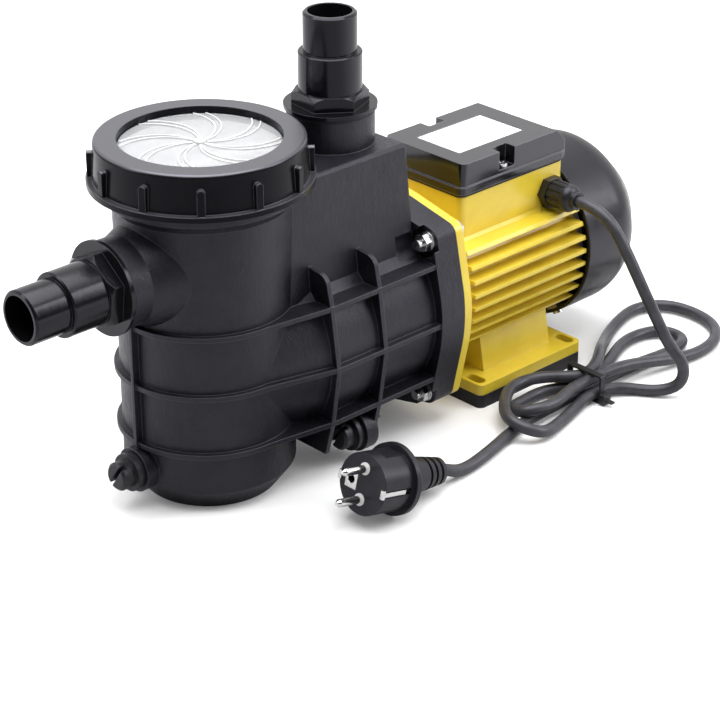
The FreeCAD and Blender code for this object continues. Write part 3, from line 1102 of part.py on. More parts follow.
def plug_moulding():
    """The plug's moulded body: barrel, collar, shoulder and grooved boot, before its holes."""
    r = size("plug_r")
    collar = size("collar_behind")
    shoulder = collar + size("collar_thick")
    long = size("plug_long")
    body = plug_rod(r, shoulder, 0)
    body = body.fuse(plug_rod(r + size("collar_proud"), size("collar_thick"), collar))
    body = body.fuse(plug_rod(r - 1, long - shoulder + 0.5, shoulder - 0.5, end_r=r - size("shoulder_slim")))
    body = body.fuse(plug_rod(size("boot_r"), size("boot_long") + 1, long - 1, end_r=size("boot_end_r")))
    for step in range(BOOT_GROOVES):
        behind = long + size("boot_long") - (step + 1) * size("boot_pitch")
        wide = plug_rod(size("boot_r") + 3, size("boot_groove"), behind)
        body = body.cut(wide.cut(plug_rod(size("groove_core_r") + 0.4 * step, size("boot_groove"), behind)))
    return body.cut(plug_slab(size("collar_behind") - size("flat_long"), 0, r, size("flat_long"),
                              size("flat_wide"), size("flat_deep")))


def mains_plug():
    """A generic round earthed plug: body, two pins in light sleeves, side clips and an earth socket."""
    r = size("plug_r")
    half_pitch = size("pin_pitch") / 2
    clip_side = r - size("clip_thick") / 2 - 0.1
    body = plug_moulding()
    pins = []
    contacts = []
    for way in (-1, 1):
        rise = way * half_pitch
        body = body.cut(plug_rod(size("pin_r") + 0.02, size("pin_root") + 1, -1, rise=rise))
        pin = plug_rod(size("pin_r"), size("pin_long") - size("pin_nose") + size("pin_root") - 0.5,
                       size("pin_nose") - size("pin_long"), rise=rise)
        nose = plug_rod(size("pin_r") * 0.45, size("pin_nose"), -size("pin_long"), rise=rise,
                        end_r=size("pin_r"))
        sleeve = plug_rod(size("sleeve_r"), size("sleeve_proud"), -size("sleeve_proud"), rise=rise)
        pins.append(pin.fuse(nose).fuse(sleeve))
        body = body.cut(plug_slab(-1, way * (r + 0.2), 0, size("clip_long") + 5, size("clip_slot"),
                                  size("clip_slot")))
        clip = plug_slab(0, way * clip_side, 0, size("clip_long"), size("clip_thick"), size("clip_wide"))
        hook = plug_slab(-size("hook_long"), way * (clip_side - 0.6), 0, size("hook_long"),
                         size("clip_thick") * 2, size("hook_wide"))
        contacts.append(clip.fuse(hook))
    sunk = size("socket_thick") - size("socket_proud")
    body = body.cut(plug_slab(-1, size("socket_side"), 0, sunk + 1, size("socket_wide") + 0.1,
                              size("socket_tall") + 0.1))
    body = body.cut(plug_rod(size("socket_r"), size("socket_deep"), -1, size("socket_side")))
    socket = plug_slab(-size("socket_proud"), size("socket_side"), 0, size("socket_thick"),
                       size("socket_wide"), size("socket_tall"))
    contacts.append(socket.cut(plug_rod(size("socket_r"), size("socket_deep"), -1, size("socket_side"))))
    body = body.cut(plug_rod(size("cable_r") + 0.2, size("boot_long") + 5,
                             size("plug_long") + size("boot_long") - size("cable_grip")))
    feature("plug_body", body)
    feature("plug_pins", Part.makeCompound(pins))
    return feature("plug_earth_clips", Part.makeCompound(contacts))


def fasteners():
    """The flange bolts with their washers and nuts."""
    shield_back = "joint_x+shield_thick"
    seat = "flange_x+bolt_pocket"

    def bolt(y, z):
        shank = rod("bolt_r", shield_back + "-(" + seat + ")+bolt_proud", x=seat + "-bolt_proud", y=y, z=z,
                    axis=FORWARD)
        head = hexagon("bolt_across", "bolt_head", x=shield_back, y=y, z=z, axis=FORWARD)
        return join(shank, head)

    name("flange_bolts", group(*at_bolts(bolt)))
    name("flange_washers", group(*at_bolts(
        lambda y, z: ring_shape("bolt_r+0.15", "washer_r", "washer_thick", x=seat + "-washer_thick", y=y, z=z,
                                axis=FORWARD))))
    name("flange_nuts", group(*at_bolts(
        lambda y, z: cut(hexagon("bolt_across", "bolt_nut", x=seat + "-washer_thick-bolt_nut", y=y, z=z,
                                 axis=FORWARD, spin=12.0),
                         rod("bolt_r+0.05", "bolt_nut+2", x=seat + "-washer_thick-bolt_nut-1", y=y, z=z,
                             axis=FORWARD)))))


def small_wet_parts():
    """Impeller nut, mechanical seal, joint gasket, port and drain seals, slinger and wave washer."""
    nut = cut(hexagon("12", "nut_long", x="impeller_back_x-shroud-nut_long", z="shaft_z", axis=FORWARD),
              rod("shaft_thread_r+0.05", "30", x="shaft_tip_x-2", z="shaft_z", axis=FORWARD))
    name("impeller_nut", nut)
    name("seal_head", turned_level([("head_x", "shaft_wet_r+0.05"), ("head_x", "head_r"),
                                    ("head_end_x", "head_r-1"), ("head_end_x", "shaft_wet_r+0.05")]))
    name("seal_seat", turned_level([("seat_x", "seat_bore_r"), ("seat_x", "seat_r-2"),
                                    ("plate_x", "seat_r-2"), ("plate_x", "seat_r"),
                                    ("plate_hub_end_x-3.1", "seat_r"),
                                    ("plate_hub_end_x-3.1", "seat_bore_r")]))
    name("shaft_slinger", turned_level([("plate_hub_end_x+1.5", "shaft_wet_r"), ("plate_hub_end_x+1.5", "12"),
                                        ("plate_hub_end_x+4", "14"), ("plate_hub_end_x+5", "14"),
                                        ("plate_hub_end_x+5", "shaft_wet_r")]))
    seal_ring("body_gasket", "plate_lip_r-1.9", "gasket_r-0.02", x="joint_x-plate_lip-gasket_r", z="shaft_z",
              axis=FORWARD)
    flat_ring("lid_seal", "seal_in_r", "seal_out_r", "lid_seal_z-neck_z", x="pot_x", z="neck_z")
    flat_ring("inlet_adapter_seal", "thread_r+0.2", "adapter_flange_r-1.4", "adapter_seal",
              x="inlet_face_x-adapter_seal", z="inlet_z", axis=FORWARD)
    flat_ring("outlet_adapter_seal", "thread_r+0.2", "adapter_flange_r-1.4", "adapter_seal",
              x="port_x", z="port_top_z")
    flat_ring("pot_drain_seal", "drain_shank_r+0.2", "drain_seal_r", "drain_seal",
              x="drain_face_x-drain_seal", z="drain_z", axis=FORWARD)
    flat_ring("side_drain_seal", "drain_shank_r+0.2", "drain_seal_r", "drain_seal",
              x="side_drain_face_x-drain_seal", y="side_drain_y", z="side_drain_z", axis=FORWARD)
    flat_ring("wave_washer", "bearing_out_r-4", "bearing_out_r-0.3", "0.5",
              x="bearing_rear_x+bearing_wide+0.05", z="shaft_z", axis=FORWARD)


def check_document():
    """Stops if any object failed to recompute or any sub-part is missing or invalid."""
    for item in doc.Objects:
        if "Invalid" in item.State or "Error" in item.State:
            raise RuntimeError("%s failed: %s" % (item.Label, item.State))
    for item in finished:
        if item.Shape.isNull() or not item.Shape.isValid() or not item.Shape.Solids:
            raise RuntimeError("%s has no valid solid" % item.Label)


def build():
    """Makes every sub-part, recomputes and checks the document."""
    fill_sheet()
    downward = FreeCAD.Vector(0, 0, -1)
    tail_reach = "adapter_seal+adapter_flange+adapter_flange_thick"
    pump_body()
    lid_ring()
    window()
    strainer_basket()
    hose_adapter("inlet_adapter", "inlet_face_x-(" + tail_reach + ")", "inlet_z", FORWARD, INLET_HEX_TURN)
    hose_adapter("outlet_adapter", "port_x", "port_top_z+" + tail_reach, downward, OUTLET_HEX_TURN)
    drain_plug("pot_drain_plug", "drain_face_x", "0", "drain_z")
    drain_plug("side_drain_plug", "side_drain_face_x", "side_drain_y", "side_drain_z")
    diffuser()
    impeller()
    seal_plate()
    small_wet_parts()
    shaft()
    bearing_rings("front_bearing", "bearing_front_x")
    bearing_rings("rear_bearing", "bearing_rear_x")
    bearing_balls()
    front_shield()
    motor_housing()
    foot_pad()
    stator()
    rotor_core()
    rear_shield()
    tie_rods()
    cooling_fan()
    fan_cover()
    fan_cover_screws()
    terminal_cover()
    terminal_box_contents()
    cable_gland()
    power_cable()
    cable_tie()
    mains_plug()
    fasteners()
    doc.recompute()
    check_document()


def write_parts():
    """Writes each sub-part to its own STEP file."""
    os.makedirs("parts", exist_ok=True)
    for item in finished:
        item.Shape.exportStep("parts/%s.step" % item.Label)


build()
write_parts()
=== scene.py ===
"""Looks for the pool pump: materials, studio floor, lights and camera."""

import json
import math

import bpy
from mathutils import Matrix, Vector

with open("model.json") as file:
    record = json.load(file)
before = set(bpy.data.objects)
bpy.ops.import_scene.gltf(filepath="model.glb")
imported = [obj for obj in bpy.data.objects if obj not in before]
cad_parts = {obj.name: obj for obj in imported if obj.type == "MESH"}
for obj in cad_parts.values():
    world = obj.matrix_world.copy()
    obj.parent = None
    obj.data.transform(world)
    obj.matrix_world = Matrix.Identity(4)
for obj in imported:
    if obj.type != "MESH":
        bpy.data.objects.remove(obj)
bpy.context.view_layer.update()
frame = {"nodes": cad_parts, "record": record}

MM = 0.001

# the camera: place and turn in the row frame, metres and degrees
CAMERA_AT = Vector((-0.9863, -0.9287, 0.6828))
CAMERA_YAW = 43.72
CAMERA_PITCH = 26.69
CAMERA_LENS = 114.6
SENSOR_WIDTH = 36.0

# the side of the room with the white cove: behind the pump as the camera sees it, and up
COVE_SIDE = (0.56, 0.59, 0.58)
# how nearly a direction faces the cove where its light starts and where it is full
COVE_START = -0.35
COVE_FULL = 0.65
COVE_LIGHT = 1.05
ROOM_LIGHT = 0.08

# what the lights are aimed at
MIDDLE = (-0.1, 0.0, 0.1)

# the floor reaches this far each way from the middle
FLOOR_HALF = 6.0
FLOOR_SEEN_DARK = (0.93, 0.93, 0.935)
FLOOR_SEEN_LIGHT = (0.96, 0.96, 0.965)
# the floor in front is dimmer to the pump than to the camera, which keeps the black plastic black
FLOOR_IN_FRONT = (0.4, 0.4, 0.41)
FLOOR_BEHIND = (0.72, 0.72, 0.73)
# the middle of the dim floor, and how far from it the floor starts to brighten and is bright
DIM_SPOT = (-0.5, -0.45, 0.0)
DIM_RADIUS = 0.35
BRIGHT_RADIUS = 0.85
# what the floor gives off towards the camera, which keeps its shadows pale
SHADOW_LIFT = 0.08

# the way the plug's pins point, the sleeves on them and the short change from plastic to metal
PIN_TILT = 14.0
PIN_DIRECTION = Vector((-math.cos(math.radians(PIN_TILT)), 0.0, math.sin(math.radians(PIN_TILT))))
SLEEVE_LENGTH = 0.9 * MM
SLEEVE_END = 0.1 * MM

# how far the hub stands above the window's disc, and the heights between which the painted glint on the
# raised lines fades in
HUB_RISE = 1.6 * MM
LINE_START = 0.1 * MM
LINE_FULL = 0.4 * MM

# the range that fractal noise mostly keeps to
NOISE_LOW = 0.3
NOISE_HIGH = 0.7
# how alike the true and the rounded normal are on an open face
OPEN_FACE = 0.995
# how many times deeper a moulding's streaks are than its grain
STREAK_DEPTH = 3.0

# the colour mix node's sockets
MIX_FACTOR = 0
MIX_FIRST = 6
MIX_SECOND = 7
MIX_RESULT = 2
# the number mix node's sockets
NUMBER_FIRST = 2
NUMBER_SECOND = 3

# the faintly blue sheen of the dark plastics and rubbers
SHEEN = (0.89, 0.87, 1.0)

NICKEL = (0.82, 0.81, 0.79)
SLEEVE_WHITE = (0.8, 0.8, 0.79)
RING_DARK = (0.004, 0.004, 0.005)
RING_LIGHT = (0.007, 0.007, 0.0085)
# painted light: the colour given to the ring's upward faces, lighter as if lit from above
RING_TOP_PAINTED_LIGHT = (0.04, 0.04, 0.045)
# the colour of the ring's edges: partly wear, partly painted highlight
RING_EDGE_WEAR_AND_HIGHLIGHT = (0.06, 0.06, 0.068)
WINDOW_DARK = (0.88, 0.89, 0.91)
WINDOW_LIGHT = (0.96, 0.97, 0.98)
# painted glint: the white given to the window's raised lines
WINDOW_LINE_GLINT = (1.0, 1.0, 1.0)
COPPER_DARK = (0.22, 0.07, 0.02)
COPPER_LIGHT = (0.7, 0.3, 0.12)
LABEL_DARK = (0.83, 0.84, 0.85)
LABEL_LIGHT = (0.9, 0.9, 0.91)

# how patterns are squeezed, per axis: less than one draws a pattern out along that axis
STREAKS_ALONG = (0.1, 1.0, 1.0)
NO_STREAKS = (1.0, 1.0, 1.0)
UPRIGHT_STREAKS = (1.0, 1.0, 0.4)
THIN_SHEETS = (1.0, 0.02, 0.02)
WIRE_TURNS = (0.15, 1.0, 1.0)


# ---------------------------------------------------------------- shader helpers

class Shader:
    """A material's node tree, with short calls for the nodes used here."""

    def __init__(self, name):
        self.material = bpy.data.materials.new(name)
        self.material.use_nodes = True
        self.tree = self.material.node_tree
        self.surface = self.tree.nodes["Principled BSDF"]
        self.place = self.node("ShaderNodeTexCoord").outputs["Object"]

    def node(self, kind, **settings):
        made = self.tree.nodes.new(kind)
        for key, value in settings.items():
            setattr(made, key, value)
        return made

    def link(self, source, target):
        self.tree.links.new(source, target)

    def feed(self, socket, value):
        """Gives an input either another node's output or a constant."""
        if isinstance(value, bpy.types.NodeSocket):
            self.link(value, socket)
        elif isinstance(value, (tuple, list)) and len(value) == 3 and socket.type == "RGBA":
            socket.default_value = (*value, 1.0)
        else:
            socket.default_value = value

    def set(self, **inputs):
        """Feeds the surface's inputs by name, with an underscore for each space."""
        for key, value in inputs.items():
            self.feed(self.surface.inputs[key.replace("_", " ")], value)

    def stretched(self, scale):
        """The object coordinates times a factor per axis."""
        mapping = self.node("ShaderNodeMapping")
        mapping.inputs["Scale"].default_value = scale
        self.link(self.place, mapping.inputs["Vector"])
        return mapping.outputs["Vector"]

    def height(self):
        """The object coordinate that points up."""
        split = self.node("ShaderNodeSeparateXYZ")
        self.link(self.place, split.inputs[0])
        return split.outputs["Z"]

    def noise(self, grains_mm, detail=3.0, place=None, rough=0.55):
        """Fractal noise with features of about this many millimetres."""
        made = self.node("ShaderNodeTexNoise")
        self.link(place or self.place, made.inputs["Vector"])
        made.inputs["Scale"].default_value = 1.0 / (grains_mm * MM)
        made.inputs["Detail"].default_value = detail
        made.inputs["Roughness"].default_value = rough
        return made.outputs["Fac"]

    def spread(self, value, low, high, start=NOISE_LOW, end=NOISE_HIGH):
        """Maps a value from one range, by default the noise's, onto another."""
        made = self.node("ShaderNodeMapRange")
        made.inputs["From Min"].default_value = start
        made.inputs["From Max"].default_value = end
        made.inputs["To Min"].default_value = low
        made.inputs["To Max"].default_value = high
        self.link(value, made.inputs["Value"])
        return made.outputs["Result"]

    def blend(self, factor, first, second):
        """Mixes two colours by a factor."""
        made = self.node("ShaderNodeMix", data_type="RGBA")
        self.feed(made.inputs[MIX_FACTOR], factor)
        self.feed(made.inputs[MIX_FIRST], first)
        self.feed(made.inputs[MIX_SECOND], second)
        return made.outputs[MIX_RESULT]

    def rounded(self, radius_mm):
        """A normal that looks as if sharp edges were rounded."""
        made = self.node("ShaderNodeBevel")
        made.samples = 6
        made.inputs["Radius"].default_value = radius_mm * MM
        return made.outputs["Normal"]

    def edges(self, rounded, sharpest=0.93):
        """Rises from 0 on open faces to 1 along the edges that a rounded normal softens."""
        alike = self.node("ShaderNodeVectorMath", operation="DOT_PRODUCT")
        self.link(rounded, alike.inputs[0])
        self.link(self.node("ShaderNodeNewGeometry").outputs["Normal"], alike.inputs[1])
        return self.spread(alike.outputs["Value"], 0.0, 1.0, start=OPEN_FACE, end=sharpest)

    def upward(self, start=0.35, end=0.8):
        """Rises from 0 on upright faces to 1 on faces that look up."""
        split = self.node("ShaderNodeSeparateXYZ")
        self.link(self.node("ShaderNodeNewGeometry").outputs["Normal"], split.inputs[0])
        return self.spread(split.outputs["Z"], 0.0, 1.0, start, end)

    def bump(self, height, depth_mm, strength=1.0, normal=None):
        """A bump of a height pattern on top of another normal."""
        made = self.node("ShaderNodeBump")
        made.inputs["Strength"].default_value = strength
        made.inputs["Distance"].default_value = depth_mm * MM
        self.link(height, made.inputs["Height"])
        if normal:
            self.link(normal, made.inputs["Normal"])
        return made.outputs["Normal"]


# ---------------------------------------------------------------- materials

def plastic(name, dark, light, rough, grain_mm, depth_mm, edge_mm, coat=0.0, spec=0.5, edge_wear_and_highlight=None):
    """Moulded plastic: patchy colour, upright streaks, fine grain and rounded edges, which may be painted
    lighter, partly as wear and partly as painted highlight.
    """
    shader = Shader(name)
    flow = shader.noise(grains_mm=16.0, detail=8.0, rough=0.7)
    mottle = shader.noise(grains_mm=3.0, detail=6.0, place=shader.stretched(UPRIGHT_STREAKS), rough=0.75)
    grain = shader.noise(grain_mm, detail=4.0)
    rounded = shader.rounded(edge_mm)
    uneven = shader.bump(mottle, depth_mm * STREAK_DEPTH, normal=rounded)
    colour = shader.blend(shader.spread(flow, 0.0, 1.0), dark, light)
    # edges painted lighter: partly wear, partly painted highlight
    if edge_wear_and_highlight:
        colour = shader.blend(shader.edges(rounded), colour, edge_wear_and_highlight)
    shader.set(Base_Color=colour, Roughness=shader.spread(mottle, low=rough * 0.75, high=rough * 1.3),
               Coat_Weight=coat, Coat_Roughness=0.08, Specular_IOR_Level=spec, Specular_Tint=SHEEN,
               Normal=shader.bump(grain, depth_mm, normal=uneven))
    return shader.material


def ring_plastic(name):
    """The lid ring: a satin top over a glossy skirt; the top's colour is painted lighter as painted light
    from above, and the crisp edges are painted lighter, partly as wear and partly as painted highlight.
    """
    shader = Shader(name)
    grain = shader.noise(grains_mm=0.6, detail=4.0)
    flow = shader.noise(grains_mm=16.0, detail=8.0, rough=0.7)
    top = shader.upward()
    rounded = shader.rounded(radius_mm=0.9)
    base = shader.blend(shader.spread(flow, 0.0, 1.0), RING_DARK, RING_LIGHT)
    # painted light: faces that look up get a lighter colour, as if lit from above
    base = shader.blend(top, base, RING_TOP_PAINTED_LIGHT)
    # edges painted lighter: partly wear, partly painted highlight
    shader.set(Base_Color=shader.blend(shader.edges(rounded), base, RING_EDGE_WEAR_AND_HIGHLIGHT),
               Roughness=shader.spread(top, low=0.2, high=0.31, start=0.0, end=1.0),
               Specular_IOR_Level=shader.spread(top, low=0.12, high=1.0, start=0.0, end=1.0),
               Specular_Tint=SHEEN, Normal=shader.bump(grain, depth_mm=0.03, normal=rounded))
    return shader.material


def pin_metal(name):
    """The plug's pins: nickel outside, light plastic sleeves where they leave the plug's face."""
    shader = Shader(name)
    lines = shader.noise(grains_mm=1.4)
    along = shader.node("ShaderNodeVectorMath", operation="DOT_PRODUCT")
    along.inputs[1].default_value = PIN_DIRECTION
    shader.link(shader.place, along.inputs[0])
    face = max(corner.co.dot(PIN_DIRECTION) for corner in frame["nodes"]["plug_body"].data.vertices)
    sleeve_top = face + SLEEVE_LENGTH
    metal_part = shader.spread(along.outputs["Value"], 0.0, 1.0, sleeve_top, sleeve_top + SLEEVE_END)
    rounded = shader.rounded(radius_mm=0.3)
    shader.set(Base_Color=shader.blend(metal_part, SLEEVE_WHITE, NICKEL), Metallic=metal_part,
               Roughness=shader.spread(lines, low=0.12, high=0.2),
               Normal=shader.bump(lines, depth_mm=0.02, strength=0.4, normal=rounded))
    return shader.material


def paint(name, colour, deep):
    """Gloss enamel on a casting: slow waviness, fine orange peel and a clear coat."""
    shader = Shader(name)
    peel = shader.noise(grains_mm=1.6, detail=2.0)
    cast = shader.noise(grains_mm=14.0, detail=2.0)
    rounded = shader.rounded(radius_mm=0.9)
    tone = shader.blend(shader.spread(cast, 0.0, 1.0), deep, colour)
    wavy = shader.bump(cast, depth_mm=0.3, strength=0.35, normal=rounded)
    shader.set(Base_Color=tone, Roughness=shader.spread(peel, low=0.3, high=0.4), Coat_Weight=0.3,
               Coat_Roughness=0.14, Normal=shader.bump(peel, depth_mm=0.03, strength=0.5, normal=wavy))
    return shader.material


def metal(name, colour, rough, streak, edge_mm=0.25):
    """Bare or plated metal with faint directional streaks."""
    shader = Shader(name)
    lines = shader.noise(grains_mm=1.4, place=shader.stretched(streak))
    dull = tuple(channel * 0.8 for channel in colour)
    shader.set(Base_Color=shader.blend(shader.spread(lines, 0.0, 1.0), dull, colour), Metallic=1.0,
               Roughness=shader.spread(lines, low=rough * 0.8, high=rough * 1.25),
               Normal=shader.bump(lines, depth_mm=0.02, strength=0.5, normal=shader.rounded(edge_mm)))
    return shader.material


def rubber(name, colour, rough, grain_mm=0.8):
    """Matt rubber with a fine bloom."""
    shader = Shader(name)
    grain = shader.noise(grain_mm)
    bloom = shader.noise(grains_mm=9.0)
    rounded = shader.rounded(radius_mm=0.5)
    paler = tuple(channel * 1.7 for channel in colour)
    shader.set(Base_Color=shader.blend(shader.spread(bloom, 0.0, 1.0), colour, paler),
               Roughness=shader.spread(grain, low=rough * 0.9, high=rough * 1.1),
               Specular_IOR_Level=0.4, Specular_Tint=SHEEN,
               Normal=shader.bump(grain, depth_mm=0.05, strength=0.6, normal=rounded))
    return shader.material


def clear_plastic(name):
    """The lid window: a clear, faintly milky moulding whose raised lines are painted white, a painted glint,
    and pass less light.
    """
    shader = Shader(name)
    waves = shader.noise(grains_mm=14.0, detail=2.0)
    haze = shader.noise(grains_mm=9.0, detail=2.0)
    rounded = shader.rounded(radius_mm=0.5)
    disc = max(corner.co.z for corner in frame["nodes"]["lid_window"].data.vertices) - HUB_RISE
    # painted glint: the raised lines get a white colour and pass less light
    lines = shader.spread(shader.height(), 0.0, 1.0, disc + LINE_START, disc + LINE_FULL)
    clear = shader.blend(shader.spread(haze, 0.0, 1.0), WINDOW_DARK, WINDOW_LIGHT)
    shader.set(Base_Color=shader.blend(lines, clear, WINDOW_LINE_GLINT), IOR=1.49,
               Roughness=shader.spread(haze, low=0.05, high=0.1),
               Transmission_Weight=shader.spread(lines, low=0.7, high=0.35, start=0.0, end=1.0),
               Normal=shader.bump(waves, depth_mm=0.3, strength=0.2, normal=rounded))
    return shader.material


def laminated(name, colour):
    """Stacked sheets, seen edge on along the shaft."""
    shader = Shader(name)
    sheets = shader.noise(grains_mm=0.5, detail=1.0, place=shader.stretched(THIN_SHEETS))
    dark = tuple(channel * 0.45 for channel in colour)
    shader.set(Base_Color=shader.blend(shader.spread(sheets, 0.0, 1.0), dark, colour), Metallic=0.9,
               Roughness=shader.spread(sheets, low=0.35, high=0.6),
               Normal=shader.bump(sheets, depth_mm=0.1))
    return shader.material


def winding(name):
    """Enamelled copper turns."""
    shader = Shader(name)
    turns = shader.noise(grains_mm=0.9, detail=1.0, place=shader.stretched(WIRE_TURNS))
    shader.set(Base_Color=shader.blend(shader.spread(turns, 0.0, 1.0), COPPER_DARK, COPPER_LIGHT),
               Metallic=0.8, Roughness=shader.spread(turns, low=0.25, high=0.45),
               Normal=shader.bump(turns, depth_mm=0.3))
    return shader.material


def film(name):
    """The blank white rating label, a satin film."""
    shader = Shader(name)
    gloss = shader.noise(grains_mm=6.0, detail=2.0)
    shader.set(Base_Color=shader.blend(shader.spread(gloss, 0.0, 1.0), LABEL_DARK, LABEL_LIGHT),
               Roughness=shader.spread(gloss, low=0.22, high=0.34), Coat_Weight=0.4, Coat_Roughness=0.1,
               Normal=shader.bump(gloss, depth_mm=0.03, strength=0.5))
    return shader.material


def casing_materials():
    """Materials of the moulded body, its lid, basket, fittings and seals."""
    return {
        # the casing's lighter edge colour is partly wear and partly painted highlight
        "casing_plastic": plastic("casing_plastic", dark=(0.004, 0.004, 0.006), light=(0.012, 0.012, 0.0165),
                                  rough=0.35, grain_mm=0.9, depth_mm=0.14, edge_mm=0.7, spec=0.5,
                                  edge_wear_and_highlight=(0.065, 0.063, 0.078)),
        "ring_plastic": ring_plastic("ring_plastic"),
        "window_clear": clear_plastic("window_clear"),
        "rubber_seal": rubber("rubber_seal", (0.012, 0.012, 0.012), rough=0.6),
        "basket_plastic": plastic("basket_plastic", dark=(0.6, 0.61, 0.62), light=(0.78, 0.79, 0.8),
                                  rough=0.45, grain_mm=0.6, depth_mm=0.04, edge_mm=0.5),
        # the fittings' lighter edge colour is partly wear and partly painted highlight
        "gloss_fitting": plastic("gloss_fitting", dark=(0.0035, 0.0035, 0.0045), light=(0.006, 0.006, 0.0075),
                                 rough=0.16, grain_mm=3.0, depth_mm=0.02, edge_mm=0.6, coat=0.1, spec=0.3,
                                 edge_wear_and_highlight=(0.02, 0.02, 0.024)),
        "drain_plastic": plastic("drain_plastic", dark=(0.012, 0.012, 0.013), light=(0.02, 0.02, 0.021),
                                 rough=0.4, grain_mm=0.6, depth_mm=0.04, edge_mm=0.6),
    }


def inner_materials():
    """Materials of the wet end and of the shaft's seal and bearings."""
    return {
        "inner_plastic": plastic("inner_plastic", dark=(0.02, 0.02, 0.021), light=(0.035, 0.035, 0.037),
                                 rough=0.45, grain_mm=0.6, depth_mm=0.04, edge_mm=0.5),
        "steel": metal("steel", (0.6, 0.6, 0.61), rough=0.3, streak=STREAKS_ALONG),
        "seal_carbon": rubber("seal_carbon", (0.02, 0.02, 0.02), rough=0.45),
        "seal_ceramic": plastic("seal_ceramic", dark=(0.8, 0.79, 0.75), light=(0.88, 0.87, 0.84),
                                rough=0.25, grain_mm=1.0, depth_mm=0.01, edge_mm=0.3),
        "brass_cage": metal("brass_cage", (0.75, 0.55, 0.25), rough=0.3, streak=STREAKS_ALONG),
    }


def motor_materials():
    """Materials of the motor, its terminal box and the flange's fasteners."""
    return {
        "yellow_paint": paint("yellow_paint", colour=(0.76, 0.575, 0.045), deep=(0.7, 0.52, 0.035)),
        "bare_aluminium": metal("bare_aluminium", (0.7, 0.7, 0.71), rough=0.45, streak=NO_STREAKS),
        "pad_rubber": rubber("pad_rubber", (0.014, 0.014, 0.015), rough=0.5),
        "core_steel": laminated("core_steel", (0.45, 0.45, 0.47)),
        "copper_winding": winding("copper_winding"),
        # the cover's light edge colour is a painted highlight along its edges
        "gloss_cover": plastic("gloss_cover", dark=(0.004, 0.004, 0.005), light=(0.007, 0.007, 0.0085),
                               rough=0.14, grain_mm=4.0, depth_mm=0.02, edge_mm=0.9, coat=0.4,
                               edge_wear_and_highlight=(0.12, 0.12, 0.13)),
        "zinc_steel": metal("zinc_steel", (0.72, 0.72, 0.73), rough=0.22, streak=NO_STREAKS, edge_mm=0.4),
        "block_plastic": plastic("block_plastic", dark=(0.7, 0.69, 0.64), light=(0.8, 0.79, 0.75),
                                 rough=0.4, grain_mm=0.6, depth_mm=0.03, edge_mm=0.4),
        "capacitor_case": plastic("capacitor_case", dark=(0.65, 0.66, 0.68), light=(0.75, 0.76, 0.78),
                                  rough=0.35, grain_mm=0.6, depth_mm=0.02, edge_mm=0.5),
        "label_white": film("label_white"),
    }


def lead_materials():
    """Materials of the gland, the mains lead, its tie and its plug."""
    return {
        "gland_plastic": plastic("gland_plastic", dark=(0.01, 0.01, 0.011), light=(0.016, 0.016, 0.017),
                                 rough=0.35, grain_mm=0.5, depth_mm=0.03, edge_mm=0.4),
        "cable_jacket": rubber("cable_jacket", (0.036, 0.036, 0.04), rough=0.33, grain_mm=0.6),
        "tie_plastic": plastic("tie_plastic", dark=(0.012, 0.012, 0.013), light=(0.02, 0.02, 0.02),
                               rough=0.35, grain_mm=0.4, depth_mm=0.02, edge_mm=0.2),
        "plug_rubber": rubber("plug_rubber", (0.009, 0.009, 0.011), rough=0.34, grain_mm=0.7),
        "nickel": metal("nickel", NICKEL, rough=0.14, streak=STREAKS_ALONG),
    }


def all_materials():
    """One material for each of the record's slots."""
    return {**casing_materials(), **inner_materials(), **motor_materials(), **lead_materials()}


def own_looks():
    """Sub-parts whose finish differs from the rest of their slot."""
    return {
        "fan_cover": plastic("fan_cover_plastic", dark=(0.005, 0.005, 0.006), light=(0.008, 0.008, 0.0095),
                             rough=0.34, grain_mm=4.0, depth_mm=0.02, edge_mm=0.9, coat=0.1, spec=0.45),
        "plug_pins": pin_metal("pin_metal"),
    }


def paint_nodes(materials, own):
    """Gives every CAD node its own look, or else its slot's material."""
    for part in frame["record"]["subparts"]:
        node = frame["nodes"][part["node"]]
        node.data.materials.clear()
        node.data.materials.append(own.get(part["node"]) or materials[part["material_slot"]])


# ---------------------------------------------------------------- studio

def studio_floor():
    """A wide flat floor: white to the camera, and dimmer in front of the pump to everything else."""
    shader = Shader("studio_floor")
    patches = shader.spread(shader.noise(grains_mm=60.0), 0.0, 1.0)
    seen = shader.blend(patches, FLOOR_SEEN_DARK, FLOOR_SEEN_LIGHT)
    in_view = shader.node("ShaderNodeLightPath").outputs["Is Camera Ray"]
    away = shader.node("ShaderNodeVectorMath", operation="DISTANCE")
    away.inputs[1].default_value = DIM_SPOT
    shader.link(shader.place, away.inputs[0])
    brightness = shader.spread(away.outputs["Value"], 0.0, 1.0, DIM_RADIUS, BRIGHT_RADIUS)
    reflected = shader.blend(brightness, FLOOR_IN_FRONT, FLOOR_BEHIND)
    shader.set(Base_Color=shader.blend(in_view, reflected, seen), Roughness=0.6,
               Specular_IOR_Level=0.2, Emission_Color=seen,
               Emission_Strength=shader.spread(in_view, low=0.0, high=SHADOW_LIFT, start=0.0, end=1.0))
    sides = (-FLOOR_HALF, FLOOR_HALF)
    corners = [(x, y, 0.0) for x in sides for y in sides]
    mesh = bpy.data.meshes.new("studio_floor")
    mesh.from_pydata(corners, [], [(0, 2, 3, 1)])
    floor = bpy.data.objects.new("studio_floor", mesh)
    bpy.context.scene.collection.objects.link(floor)
    mesh.materials.append(shader.material)


def soft_box(name, at, wide, tall, power):
    """A rectangular soft light turned towards the pump."""
    data = bpy.data.lights.new(name, "AREA")
    data.shape = "RECTANGLE"
    data.size = wide
    data.size_y = tall
    data.energy = power
    lamp = bpy.data.objects.new(name, data)
    lamp.location = at
    lamp.rotation_euler = (Vector(MIDDLE) - Vector(at)).to_track_quat("-Z", "Y").to_euler()
    bpy.context.scene.collection.objects.link(lamp)


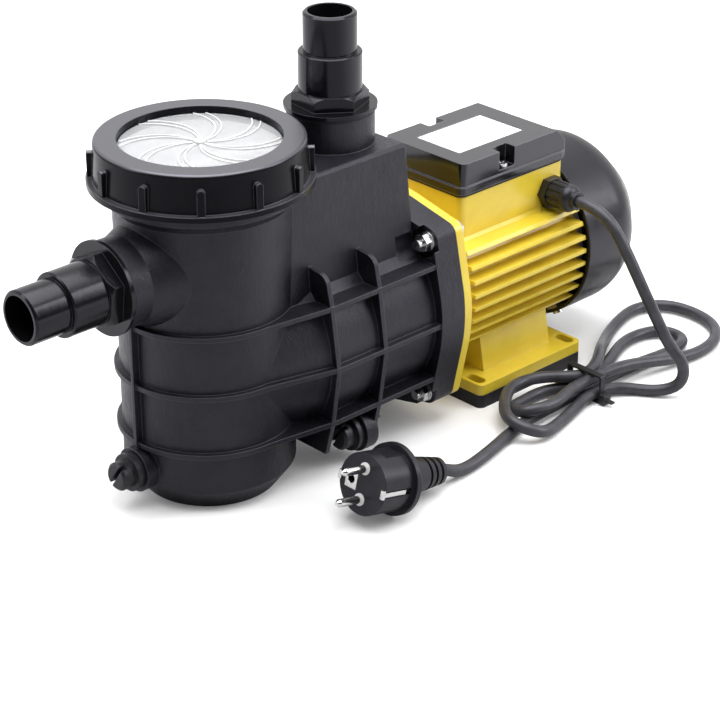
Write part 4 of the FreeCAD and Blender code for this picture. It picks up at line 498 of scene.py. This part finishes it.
def studio_world():
    """A white cove behind and above the pump and a dim room before it; the camera itself sees only white."""
    world = bpy.data.worlds.new("studio")
    world.use_nodes = True
    bpy.context.scene.world = world
    bpy.context.scene.view_settings.view_transform = "Standard"
    tree = world.node_tree
    sky = tree.nodes["Background"]
    sight = tree.nodes.new("ShaderNodeTexCoord")
    facing = tree.nodes.new("ShaderNodeVectorMath")
    facing.operation = "DOT_PRODUCT"
    facing.inputs[1].default_value = COVE_SIDE
    tree.links.new(sight.outputs["Generated"], facing.inputs[0])
    falloff = tree.nodes.new("ShaderNodeMapRange")
    falloff.interpolation_type = "SMOOTHSTEP"
    falloff.inputs["From Min"].default_value = COVE_START
    falloff.inputs["From Max"].default_value = COVE_FULL
    falloff.inputs["To Min"].default_value = ROOM_LIGHT
    falloff.inputs["To Max"].default_value = COVE_LIGHT
    tree.links.new(facing.outputs["Value"], falloff.inputs["Value"])
    path = tree.nodes.new("ShaderNodeLightPath")
    pick = tree.nodes.new("ShaderNodeMix")
    tree.links.new(path.outputs["Is Camera Ray"], pick.inputs[MIX_FACTOR])
    tree.links.new(falloff.outputs["Result"], pick.inputs[NUMBER_FIRST])
    pick.inputs[NUMBER_SECOND].default_value = 1.0
    tree.links.new(pick.outputs[0], sky.inputs["Strength"])
    sky.inputs["Color"].default_value = (1.0, 1.0, 1.0, 1.0)


def studio_lights():
    """One large overhead light and two weaker side lights."""
    soft_box("overhead", at=(-0.15, 0.0, 1.6), wide=2.0, tall=1.6, power=42.0)
    soft_box("left", at=(-1.5, 0.7, 0.8), wide=0.5, tall=1.0, power=6.0)
    soft_box("right", at=(0.9, -1.1, 0.9), wide=0.7, tall=1.0, power=12.0)


def studio_camera():
    """The camera, aimed by its yaw and pitch."""
    data = bpy.data.cameras.new("camera")
    data.lens = CAMERA_LENS
    data.sensor_width = SENSOR_WIDTH
    data.sensor_fit = "HORIZONTAL"
    camera = bpy.data.objects.new("camera", data)
    camera.location = CAMERA_AT
    camera.rotation_euler = (math.radians(90.0 - CAMERA_PITCH), 0.0, math.radians(-CAMERA_YAW))
    bpy.context.scene.collection.objects.link(camera)
    bpy.context.scene.camera = camera


paint_nodes(all_materials(), own_looks())
studio_floor()
studio_world()
studio_lights()
studio_camera()
